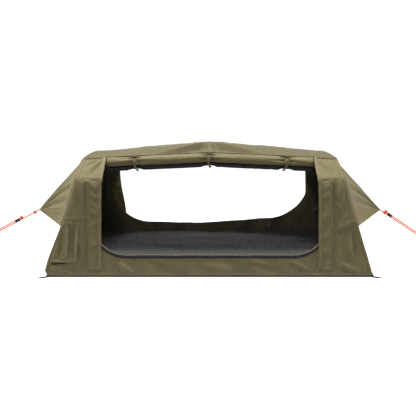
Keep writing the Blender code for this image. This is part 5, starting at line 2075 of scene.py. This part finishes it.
@dataclass
class Rolls:
    """The canvas and mesh doors, rolled up under each eave, with their straps and toggles."""

    palette: Palette
    radius: float = 0.033
    half: float = 0.684
    mesh_radius: float = 0.0205
    mesh_turn: float = radians(-57.0)
    layer: float = 0.0036
    edge_step: float = 0.0022
    pinch: float = 0.0045
    pinch_reach: float = 0.05
    strap_width: float = 0.016
    strap_thick: float = 0.0014
    fan_rise: float = 0.0150
    fan_reach: float = 0.045
    toggle_turn: float = radians(50.0)
    toggle_radius: float = 0.0045
    toggle_waist: float = 0.0033
    toggle_length: float = 0.034
    ties: tuple[float, ...] = (-0.50, -0.008, 0.51)

    def build(self) -> None:
        """Make all rolls, straps and toggles."""
        for side in Side:
            self._roll(side, False)
            self._roll(side, True)
            for number, x in enumerate(self.ties, 1):
                self._strap(side, number, x)
                self._toggle(side, number, x)

    def centre(self, x: Array | float, side: Side, mesh_roll: bool = False) -> Array:
        """Find a roll's middle line.

        Args:
            x: Places along the length.
            side: Front or rear.
            mesh_roll: Whether it is the insect mesh's roll.

        Returns:
            Points, one a row, or one point.
        """
        y, z = SKIN.section(SKIN.eave_run, -CLOTH)
        z = z + SKIN.rise(x, SKIN.eave_run) - GAP - self.radius
        if mesh_roll:
            reach = self.radius + GAP + self.mesh_radius - 1.8 * self.pinched(x)
            y = y + reach * cos(self.mesh_turn)
            z = z + reach * sin(self.mesh_turn)
        return coords(x, -side.value * y, z)

    @property
    def seat(self) -> float:
        """How far over a roll's own radius its straps lie."""
        return 2 * GAP - self.pinch * sqrt(1 - self.strap_width / self.pinch_reach)

    def near_tie(self, x: Array | float) -> Array:
        """Find distances to the nearest tie."""
        return np.min([np.abs(x - tie) for tie in self.ties], axis=0)

    def pinched(self, x: Array | float) -> Array:
        """Find how much the ties pinch the canvas roll."""
        return self.pinch * np.sqrt(np.clip(1 - self.near_tie(x) / self.pinch_reach, 0, None))

    def _roll(self, side: Side, mesh_roll: bool) -> None:
        """Make a rolled door: wound ends, a free outer edge, pinches and fanned folds at the ties.

        Args:
            side: Front or rear.
            mesh_roll: Whether it is the insect mesh.
        """
        radius = self.mesh_radius if mesh_roll else self.radius
        step = self.edge_step * (0.5 if mesh_roll else 1.0)
        caps, spans, round_cells = 26, 300, 80
        seed = 71 + side.value + (5 if mesh_roll else 0)
        waves = (Ripples(seed, 0.0011, 0.10, 0.45, 0.0, 0.6),
                 Ripples(seed + 20, 0.0007, 0.025, 0.07, 0.0, 2.2))
        marks = np.concatenate([np.zeros(caps), np.linspace(0, 1, spans + 1), np.ones(caps)])
        reach = np.concatenate([np.linspace(0, 1, caps, endpoint=False), np.ones(spans + 1),
                                np.linspace(1, 0, caps + 1)[1:]])
        edge_turn = radians(-60.0) if mesh_roll else radians(-25.0)
        touch = self.mesh_turn + (pi if mesh_roll else 0.0)

        def place(along: Array, share: Array) -> Array:
            row = np.rint(along * (len(marks) - 1)).astype(int)
            wound = np.where(share > 0.995, 0.0, share / 0.985)
            turn = edge_turn + 2 * pi * wound
            x = self.half * (2 * marks[row] - 1)
            near = self.near_tie(x)
            apart = np.abs((turn - touch + pi) % (2 * pi) - pi)
            pleats = (0.5 + 0.5 * np.cos(6 * turn + 1.3 * np.sin(9 * x + 1.0) + 9.0 * near)) ** 1.5
            fan = self.fan_rise * np.exp(-np.clip(near - 0.016, 0, None) / self.fan_reach)
            fan = fan * step_up(0.009, 0.022, near) * pleats * step_up(0.25, 0.75, apart)
            body = radius - step * wound - self.pinched(x) - fan * (0.6 if mesh_roll else 1.0)
            body = body + np.clip(summed(waves, x, turn * radius), -0.004, 0.0)
            away = body * reach[row]
            layers = (away / self.layer - wound) % 1.0
            groove = 0.0018 * np.exp(-((layers - 0.5) / 0.16) ** 2) * step_up(0.08, 0.2, reach[row])
            telescope = 0.004 * np.sin(pi * reach[row]) * np.cos(turn + 1.0)
            ends = np.where(row < caps, 1.0, np.where(row > caps + spans, -1.0, 0.0))
            x = x + ends * (groove + 0.003 + telescope) * (reach[row] < 0.999)
            return self.centre(x, side, mesh_roll) + outwards(turn, side.value) * away[:, None]
        roll = grid(f"{side}_{'mesh' if mesh_roll else 'canvas'}_door", (len(marks) - 1, round_cells), place,
                    (2 * self.half + 2 * radius, 2 * pi * radius))
        merge(roll, 0.000005)
        face_out(roll)
        dress(smooth(roll, radians(50)), self.palette["insect_mesh" if mesh_roll else "canvas"])
        settle(roll, "root", "black_mesh" if mesh_roll else "roof_canvas",
               f"{side}_{'mesh' if mesh_roll else 'door'}_roll")

    def _hull(self, turn: Array, side: Side, x: float) -> Array:
        """Find the strap's middle line round both rolls.

        Args:
            turn: Its outward directions.
            side: Front or rear.
            x: The tie's place along the length.

        Returns:
            Points, one a row.
        """
        out = outwards(turn)
        lift = self.seat + self.strap_thick / 2
        big = self.centre(x, side) + out * (self.radius + lift)
        small = self.centre(x, side, True) + out * (self.mesh_radius + lift)
        first = np.sum(big * out, axis=1) > np.sum(small * out, axis=1)
        return np.where(first[:, None], big, small)

    def _strap(self, side: Side, number: int, x: float) -> None:
        """Make a strap round both rolls, with a loose tail below.

        Args:
            side: Front or rear.
            number: Which tie, from the left.
            x: Its place along the length.
        """
        hem = (self.palette["canvas_hem"],)

        def place(round_share: Array, across: Array) -> Array:
            turn = 2 * pi * round_share
            shift = coords((across - 0.5) * self.strap_width, 0.0, 0.0)
            crown = outwards(turn) * (0.0002 * np.sin(pi * across))[:, None]
            return self._hull(turn, side, x) + shift + crown
        strap = grid(f"{side}_strap_{number}", (96, 6), place, (0.3, self.strap_width))
        merge(strap, 0.000005)
        thicken(strap, hem, self.strap_thick, tuple(self.centre(x, side)))
        low = self._hull(np.array([radians(-90.0) - side.value * radians(8.0)]), side, x)[0]
        shift = (0.016, 0.012, -0.016)[number - 1]

        def hang(across: Array, down: Array) -> Array:
            wave = 0.0035 * np.sin(2.4 * down + number)
            return coords(x + shift * (0.5 + 0.5 * down) + (across - 0.5) * self.strap_width + wave,
                          low[1] + side.value * (0.001 + 0.004 * down + 0.002 * np.sin(pi * across)),
                          low[2] + 0.001 - 0.014 * down)
        tail = thicken(grid("strap_tail", (6, 10), hang, (self.strap_width, 0.022)), hem, 0.0012)
        join(strap, [tail])
        settle(strap, "root", "olive_canvas", f"{side}_tie_{number}")

    def _toggle(self, side: Side, number: int, x: float) -> None:
        """Make a waisted toggle with the cord loop round its waist.

        Args:
            side: Front or rear.
            number: Which tie, from the left.
            x: Its place along the length.
        """
        out = outwards(self.toggle_turn, side.value)
        lift = self.radius + self.seat + self.strap_thick + GAP + self.toggle_radius
        centre = self.centre(x, side) + out * lift
        marks = np.linspace(-1, 1, 61)
        aside = np.abs(marks)
        full = self.toggle_waist + (self.toggle_radius - self.toggle_waist) * step_up(0.15, 0.62, aside)
        full = full * np.sqrt(np.clip(1 - np.clip((aside - 0.84) / 0.165, 0, 1) ** 2, 0.02, 1))
        full = full + 0.00025 * (np.abs(aside - 0.72) < 0.03)
        path = centre + np.outer(marks * self.toggle_length / 2, (1, 0, 0))
        toggle = dress(tube(f"{side}_bar_toggle_{number}", path, full, 24), self.palette["moulded_nylon"])
        along, up = ring_points(24)
        ring = centre + (np.outer(along, np.cross(out, (1, 0, 0))) + np.outer(up, out)) * 0.0040
        join(toggle, [dress(tube("toggle_loop", ring, 0.0007, 8, closed=True), self.palette["webbing"])])
        settle(toggle, f"{side}_toggle_{number}", "black_plastic", f"{side}_toggle_{number}")


@dataclass
class Bed:
    """The PVC tub floor and the mattress."""

    palette: Palette
    lip: float = 0.0025
    lip_height: float = 0.013
    length: float = 1.985
    width: float = 1.0
    height: float = 0.135
    crown: float = 0.016
    drawn_in: float = 0.012
    rounding: float = 0.022
    voxel: float = 0.014
    swell: float = 0.006
    frames: int = 20
    piping: float = 0.0032

    def build(self) -> None:
        """Make the tub and the mattress."""
        self._tub()
        self._mattress()

    def _tub(self) -> None:
        """Make the tub with its upturned lip and rounded corners."""
        half = [size / 2 + GAP + self.lip for size in (SKIN.base_length, SKIN.base_width)]
        tub = add_shape(bpy.ops.mesh.primitive_cube_add, "pvc_tub", size=2,
                        scale=(*half, self.lip_height / 2), location=(0, 0, self.lip_height / 2))
        ends = points_of(tub)[:, 2]
        pick(tub, "EDGE", lambda edge: np.ptp(ends[list(edge.vertices)]) > self.lip_height / 2)
        bpy.ops.mesh.bevel(offset=0.006, segments=5)
        bpy.ops.object.mode_set(mode="OBJECT")
        drop_faces(tub, lambda cell: cell.normal.z > 0.9)
        apply_step(tub, "SOLIDIFY", thickness=self.lip, offset=-1.0, use_even_offset=True)
        apply_step(tub, "BEVEL", width=0.0009, segments=2, limit_method="ANGLE", angle_limit=radians(40))
        unwrap(tub)
        smooth(dress(tub, self.palette["pvc"]))
        settle(tub, "root", "black_pvc", "floor_tub")

    def _mattress(self) -> None:
        """Make the mattress: blown up a little in its cover, wrinkled, and piped round both rims."""
        pad = add_shape(bpy.ops.mesh.primitive_cube_add, "foam_mattress", size=2)
        edit_all(pad, lambda: bpy.ops.mesh.subdivide(number_cuts=15))
        u, v, w = points_of(pad).T
        half_x = self.length / 2 - self.swell - self.drawn_in * (1 - v * v) * (1 - w * w)
        half_y = self.width / 2 - self.swell - self.drawn_in * (1 - u * u) * (1 - w * w)
        top = self.crown * 0.6 * (1 - u ** 4) * (1 - v ** 4) * np.clip(w, 0, None)
        level = SKIN.floor + 0.001 + (w + 1) / 2 * (self.height - 0.004) + top
        move_points(pad, coords(u * half_x, v * half_y, level))
        apply_step(pad, "BEVEL", width=self.rounding, segments=4, limit_method="ANGLE",
                   angle_limit=radians(60))
        apply_step(pad, "REMESH", mode="VOXEL", voxel_size=self.voxel)
        self._inflate(pad)
        apply_step(pad, "SUBSURF", levels=1, render_levels=1)
        self._wrinkle(pad)
        rims = [self._rim(pad, height) for height in (0.022, self.height - 0.010)]
        unwrap(pad)
        smooth(dress(pad, self.palette["mattress_cover"]), radians(60))
        join(pad, rims)
        settle(pad, "root", "mattress_cover", "mattress")

    def _inflate(self, pad: Piece) -> None:
        """Let air pressure fill the cover, with a cap on how far a point moves.

        Args:
            pad: The remeshed mattress.
        """
        start = points_of(pad)
        activate(pad)
        step = pad.modifiers.new("cover", "CLOTH")
        step.settings.quality = 4
        step.settings.mass = 0.4
        step.settings.tension_stiffness = 25
        step.settings.compression_stiffness = 25
        step.settings.bending_stiffness = 4
        step.settings.use_pressure = True
        step.settings.uniform_pressure_force = 4
        step.settings.effector_weights.gravity = 0
        step.collision_settings.use_collision = False
        step.point_cache.frame_start = 1
        step.point_cache.frame_end = self.frames
        for frame in range(1, self.frames + 1):
            bpy.context.scene.frame_set(frame)
        bpy.ops.object.modifier_apply(modifier=step.name)
        bpy.context.scene.frame_set(1)
        moved = points_of(pad) - start
        reach = np.linalg.norm(moved, axis=1)[:, None]
        moved *= np.minimum(1.0, self.swell / np.maximum(reach, 1e-9))
        points = start + moved
        points[:, 2] = np.maximum(points[:, 2], SKIN.floor)
        move_points(pad, points)

    def _wrinkle(self, pad: Piece) -> None:
        """Press fine wrinkles into the cover, across its top and down its sides.

        Args:
            pad: The filled mattress.
        """
        points = points_of(pad)
        x, y, z = points.T
        high = step_up(self.height * 0.7, self.height, z)
        across = Ripples(81, 0.0021, 0.03, 0.12, 0.0, 0.5, 20).height(x, y)
        puckers = Ripples(83, 0.0010, 0.016, 0.05, 0.0, 0.3, 20).height(x, y * 0.3)
        broad = Ripples(85, 0.0022, 0.18, 0.6).height(x, y)
        points[:, 2] += (across + broad) * high * step_up(0, 0.05, self.width / 2 - np.abs(y))
        near_side = step_up(self.width / 2 - 0.05, self.width / 2, np.abs(y)) * (1 - high)
        points[:, 1] += np.sign(y) * puckers * near_side * step_up(SKIN.floor, 0.03, z)
        move_points(pad, points)

    def _rim(self, pad: Piece, level: float) -> Piece:
        """Sew piping round the cover at a height.

        Args:
            pad: The finished pad.
            level: Height of the piping over the tub's floor.

        Returns:
            The piping.
        """
        turns = np.linspace(0, 2 * pi, 400, endpoint=False)
        points = points_of(pad)
        ring = points[np.abs(points[:, 2] - SKIN.floor - level) < self.voxel * 0.7]
        bearing = np.arctan2(ring[:, 1] / self.width, ring[:, 0] / self.length)
        order = np.argsort(bearing)
        reach = np.hypot(ring[:, 0], ring[:, 1])
        wide = np.interp(turns, bearing[order] % (2 * pi), reach[order], period=2 * pi)
        way = unit(coords(np.cos(turns) * self.length, np.sin(turns) * self.width)) * wide[:, None]
        path = coords(*way.T, SKIN.floor + level)
        piping = tube("mattress_piping", path, self.piping, 8, closed=True)
        return dress(piping, self.palette["mattress_cover"])


@dataclass
class Poles:
    """The two end hoops, the ridge pole in two halves, and the tees that join them."""

    palette: Palette
    radius: float = 0.0055
    wall: float = 0.0036
    length: float = 0.062
    socket: float = 0.042
    depth_in: float = 0.026
    ferrule: float = 0.0068
    SCREW = (0.0032, 0.0032, 0.003, 0.002)

    @property
    def fitting(self) -> float:
        """Radius of the tees and the bent ferrule."""
        return self.radius + GAP + self.wall

    @property
    def depth(self) -> float:
        """Depth of the poles' middle line under the skin."""
        return CLOTH + GAP + self.fitting

    def _end_point(self, end: End, run: Array | float) -> Array:
        """Find points of a hoop's middle line."""
        y, z = SKIN.section(run, -self.depth)
        return coords(end.value * (SKIN.end_x(z) - self.depth / cos(SKIN.end_lean)), y, z)

    def _ridge_point(self, x: float) -> Array:
        """Find a point of the ridge pole's middle line."""
        slope = atan(SKIN.ridge_rise / (SKIN.roof_length / 2))
        return np.array([x, 0, SKIN.hoop_height + SKIN.rise(x, SKIN.crest_run) - self.depth / cos(slope)])

    def build(self) -> None:
        """Make all poles."""
        for end in End:
            self._hoop(end)
            self._tee(end)
            self._ridge(end)

    def _hoop(self, end: End) -> None:
        """Make a hoop with two swaged joints in each leg.

        Args:
            end: Left or right.
        """
        foot = SKIN.floor + self.radius * sin(SKIN.end_lean + SKIN.leg_lean)
        runs = np.linspace(foot, 2 * SKIN.crest_run - foot, 420)
        way = np.minimum(runs, 2 * SKIN.crest_run - runs)
        radii = np.full(len(runs), self.radius)
        for joint in (0.30, 0.56):
            radii = np.where(np.abs(way - joint) < 0.03, self.ferrule, radii)
        path = self._end_point(end, runs)
        reach = 12
        for k in range(3):
            padded = np.pad(path[:, k], reach, mode="reflect", reflect_type="odd")
            path[:, k] = np.convolve(padded, np.ones(2 * reach + 1) / (2 * reach + 1), mode="valid")
        hoop = tube(f"{end}_hoop_pole", path, radii, 16)
        smooth(dress(hoop, self.palette["anodised_alloy"]))
        settle(hoop, "root", "alloy_pole", f"{end}_end_hoop")

    def _way(self, end: End) -> Array:
        """Find the direction of a ridge pole half, from its end to the middle."""
        return unit(self._ridge_point(0.0) - self._ridge_point(end.value * SKIN.roof_length / 2))

    def _tee(self, end: End) -> None:
        """Make a moulded tee with rimmed mouths and a screw.

        Args:
            end: Left or right.
        """
        crown = self._end_point(end, SKIN.crest_run)
        nylon = self.palette["moulded_nylon"]
        marks, shares = np.linspace(-1, 1, 41), np.linspace(0, 1, 24)
        rim = self.fitting - 0.0009 * step_up(0.0, 0.12, 1 - np.abs(marks))
        body = tube(f"{end}_ridge_tee", crown + np.outer(marks, (0, self.length / 2, 0)), rim, 20)
        mouth = self.fitting - 0.0009 * step_up(0.0, 0.15, 1 - shares)
        stub = tube("tee_stub", crown + np.outer(shares * self.socket, self._way(end)), mouth, 20)
        drop = np.linspace(self.fitting * 0.8, self.fitting + 0.0012, 4)
        screw = tube("tee_screw", crown - np.outer(drop, (0, 0, 1)), self.SCREW, 12)
        dress(body, nylon)
        join(body, [dress(stub, nylon), dress(screw, self.palette["plated_steel"])])
        settle(body, "root", "black_plastic", f"{end}_crown_tee")

    def _ridge(self, end: End) -> None:
        """Make one half of the ridge pole. The left one carries the bent ferrule.

        Args:
            end: Left or right.
        """
        way, alloy = self._way(end), self.palette["anodised_alloy"]
        inset = self.socket - self.depth_in + GAP
        start = self._end_point(end, SKIN.crest_run) + way * inset
        middle = start + way * (-start[0] / way[0])
        stop = middle - way * (inset if end is End.RIGHT else self.radius)
        pole = dress(tube(f"{end}_ridge_half", np.linspace(start, stop, 80), self.radius, 16), alloy)
        if end is End.LEFT:
            other = self._way(End.RIGHT)
            bend = curve_path([middle - way * self.socket, middle - way * 0.01, middle - other * 0.01,
                               middle - other * self.socket], 0.003)
            join(pole, [dress(tube("bent_ferrule", bend, self.fitting, 20), alloy)])
        settle(pole, "root", "alloy_pole", f"{end}_ridge_pole")


def placed(frame: Matrix, points: Array) -> Array:
    """Take points from a frame of their own into the scene."""
    return points @ np.array(frame.to_3x3()).T + np.array(frame.translation)


@dataclass(frozen=True)
class Patch:
    """A flat or folded patch in a frame of its own: places along and across give its points."""

    frame: Matrix
    line: Array
    normal: Array

    def at(self, a: Array, b: Array, offset: Array | float = 0.0) -> Array:
        """Find points of the patch.

        Args:
            a: Lengths along its line.
            b: Distances across it.
            offset: Distances off its face.

        Returns:
            Points, one a row.
        """
        a, b, offset = np.broadcast_arrays(np.asarray(a, float), np.asarray(b, float), offset)
        way = travelled(self.line)
        spot, out = (coords(*(np.interp(a, way, part) for part in row.T)) for row in (self.line, self.normal))
        spot = spot + unit(out) * offset[:, None]
        return placed(self.frame, coords(spot[:, 0], b, spot[:, 1]))


@dataclass
class Pegging:
    """The corner tabs with their D-rings, and the orange tabs at the ends' feet."""

    palette: Palette
    width: float = 0.03
    length: float = 0.034
    thick: float = 0.002
    sleeve: float = 0.022
    wire: float = 0.002
    ring_half: float = 0.0155
    ring_reach: float = 0.021
    sleeve_wall: float = 0.0016
    lip: float = 0.0025
    end_y: float = -0.13
    end_length: float = 0.036
    end_width: float = 0.025
    end_eye: float = 0.005
    thread: Thread = Thread(0.0026, 0.0004, 0.0036)

    def build(self) -> None:
        """Make all tabs and rings."""
        for side in Side:
            for end in End:
                self._corner_tab(side, end)
                self._ring(side, end)
        for end in End:
            self._end_tab(end)

    def _frame(self, side: Side, end: End) -> Matrix:
        """Find a corner tab's frame, its X outwards along the diagonal."""
        corner = Vector((end.value * (SKIN.base_length / 2 + GAP + self.lip),
                         side.value * (SKIN.base_width / 2 + GAP + self.lip), 0))
        turn = np.arctan2(side.value, end.value)
        return Matrix.Translation(corner) @ Matrix.Rotation(float(turn), 4, "Z")

    @property
    def seat(self) -> Vector:
        """Middle of a ring's bar in its tab's frame."""
        return Vector((self.length, 0, self.wire + GAP + self.sleeve_wall + GAP))

    def _corner_tab(self, side: Side, end: End) -> None:
        """Make a webbing tab, folded round its ring's bar and box stitched.

        Args:
            side: Front or rear.
            end: Left or right.
        """
        reach = self.wire + GAP + self.sleeve_wall / 2
        seat, frame = self.seat, self._frame(side, end)
        turns = np.linspace(-pi / 2, pi * 0.62, 16)
        hem = coords(seat.x + reach * np.cos(turns), seat.z + reach * np.sin(turns))
        low = self.sleeve_wall * 0.45 + 0.0002
        profile = np.vstack([[(-0.012, low), (0.004, low), (0.018, low)], hem,
                             [(0.022, low + 0.0030), (0.016, low + 0.0022), (0.004, low + 0.0022)]])
        heading = np.gradient(profile, axis=0)
        patch = Patch(frame, profile, coords(heading[:, 1], -heading[:, 0]))
        way = travelled(profile)
        total = float(way[-1])

        def place(along: Array, across: Array) -> Array:
            x = np.interp(along * total, way, profile[:, 0])
            half = self.width / 2 + (self.sleeve - self.width) / 2 * step_up(0.010, 0.028, x)
            return patch.at(along * total, (across - 0.5) * 2 * half)
        name = f"{side}_{end}_webbing_tab"
        tab = thicken(grid(name, (48, 8), place, (total, self.width)), (self.palette["webbing"],),
                      self.sleeve_wall * 0.9, tuple(frame @ seat))
        top, far = total - 0.016, total - 0.003
        box = [line((top, -0.009), (far, -0.009), (far, 0.009), (top, 0.009), (top, -0.009), spacing=0.003),
               line((top, -0.009), (far, 0.009), spacing=0.003)]
        join(tab, [self.thread.stitches(f"{name}_thread", patch, box, self.sleeve_wall / 2 + 0.0002,
                                        self.palette["zip_teeth"])])
        settle(tab, "root", "black_webbing", f"{side}_{end}_corner_tab")

    def _ring(self, side: Side, end: End) -> None:
        """Make a D-ring of bent wire, its straight bar in the tab's hem.

        Args:
            side: Front or rear.
            end: Left or right.
        """
        turns = np.linspace(0, pi, 40)[1:-1]
        bow = coords(self.ring_reach * np.sin(turns) + self.wire / 2, self.ring_half * np.cos(turns), 0.0)
        bar = coords(0.0, -self.ring_half * np.linspace(1, -1, 14), 0.0)
        frame = self._frame(side, end) @ Matrix.Translation(self.seat)
        path = curve_path(placed(frame, np.vstack([bow, bar])), 0.0014, closed=True)
        ring = tube(f"{side}_{end}_d_ring", path, self.wire, 12, closed=True)
        smooth(dress(ring, self.palette["zip_slider"]))
        settle(ring, f"{side}_{end}_peg_ring", "steel", f"{side}_{end}_peg_ring")

    def _end_tab(self, end: End) -> None:
        """Make an orange webbing tab with a rounded nose and a metal eyelet.

        Args:
            end: Left or right.
        """
        half = self.end_width / 2
        back = self.end_length - half
        root = Vector((end.value * (SKIN.base_length / 2 + 2 * GAP + self.lip), self.end_y, self.thick / 2))
        turned = Matrix.Rotation(0 if end is End.RIGHT else pi, 4, "Z")
        frame = Matrix.Translation(root) @ turned @ Matrix.Translation((back, 0, 0))

        def place(round_share: Array, out: Array) -> Array:
            turn = 2 * pi * round_share
            c, s = np.cos(turn), np.sin(turn)
            flank = half / np.maximum(np.abs(s), 1e-6)
            heel = back / np.maximum(-c, 1e-6)
            edge = np.where(c >= 0, half, np.minimum(flank, heel))
            reach = self.end_eye + (edge - self.end_eye) * out
            lift = 0.0006 * np.sin(pi * out) + 0.0012 * np.clip(c, 0, 1) * out
            return placed(frame, coords(reach * c, reach * s, lift))
        tab = grid(f"{end}_peg_loop", (72, 8), place, (0.09, half))
        merge(tab, 0.000005)
        thicken(tab, (self.palette["orange_webbing"],), self.thick * 0.8, (root.x, root.y, -1.0))
        unwrap(tab)
        rings = []
        c, s = ring_points(32)
        eye = self.end_eye * 1.12
        for level in (1, -1):
            path = placed(frame, coords(eye * c, eye * s, level * self.thick * 0.42))
            rings.append(dress(tube("eyelet", path, 0.0009, 10, closed=True), self.palette["plated_steel"]))
        join(tab, rings)
        settle(tab, "root", "orange_webbing", f"{end}_end_tab")


@dataclass
class Tensioners:
    """The black tensioners that both strands of a guy rope run through."""

    ropes: GuyRopes
    width: float = 0.024
    thick: float = 0.011
    clearance: float = 0.0004
    waist: float = 0.12

    def build(self) -> None:
        """Make both tensioners."""
        for end in End:
            self._tensioner(end)

    def _tensioner(self, end: End) -> None:
        """Make a tensioner with a waist, rounded rims and its two bores.

        Args:
            end: Which rope it is on.
        """
        start, out = self.ropes.frame(end)
        centre = Vector(start + out * self.ropes.TENSIONER[end])
        along, across = Vector(out), Vector(self.ropes.across(end))
        turned = Matrix((along, across, along.cross(across))).transposed().to_4x4()
        block = add_shape(bpy.ops.mesh.primitive_cube_add, f"{end}_line_tensioner", size=1)
        edit_all(block, lambda: bpy.ops.mesh.subdivide(number_cuts=9))
        u, v, w = points_of(block).T
        length = self.ropes.tensioner_length
        pinch = 1 - self.waist * np.cos(pi * u) ** 2 * (np.abs(v) > 0.3)
        rib = 1 - 0.10 * (np.cos(6 * pi * u) > 0) * (np.abs(u) < 0.36)
        move_points(block, coords(u * length, v * self.width * pinch + self.ropes.strand_gap / 2,
                                  w * self.thick * rib))
        apply_step(block, "BEVEL", width=0.0007, segments=2, limit_method="ANGLE", angle_limit=radians(25))
        for aside in (0.0, self.ropes.strand_gap):
            bore = add_shape(bpy.ops.mesh.primitive_cylinder_add, "bore", vertices=24, depth=length * 2,
                             radius=self.ropes.radius + self.clearance, rotation=(0, pi / 2, 0),
                             location=(0, aside, 0))
            apply_step(block, "BOOLEAN", operation="DIFFERENCE", object=bore, solver="EXACT")
            bpy.data.objects.remove(bore)
        block.data.transform(Matrix.Translation(centre) @ turned)
        unwrap(block)
        smooth(dress(block, self.ropes.palette["moulded_nylon"]), radians(30))
        settle(block, f"{end}_tensioner", "black_plastic", f"{end}_tensioner")


def main() -> None:
    """Load the frame and dress the whole swag."""
    logging.basicConfig(level=logging.INFO, format="%(message)s", stream=sys.stdout)
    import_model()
    palette = Palette()
    Studio().build()
    ropes = GuyRopes(palette)
    for assembly in (Tensioners(ropes), ropes, Bed(palette), Poles(palette), EndCanvas(palette),
                     Door(palette), Roof(palette), Rolls(palette), Pegging(palette)):
        LOG.info("building %s", type(assembly).__name__)
        assembly.build()


if __name__ == "__main__":
    main()
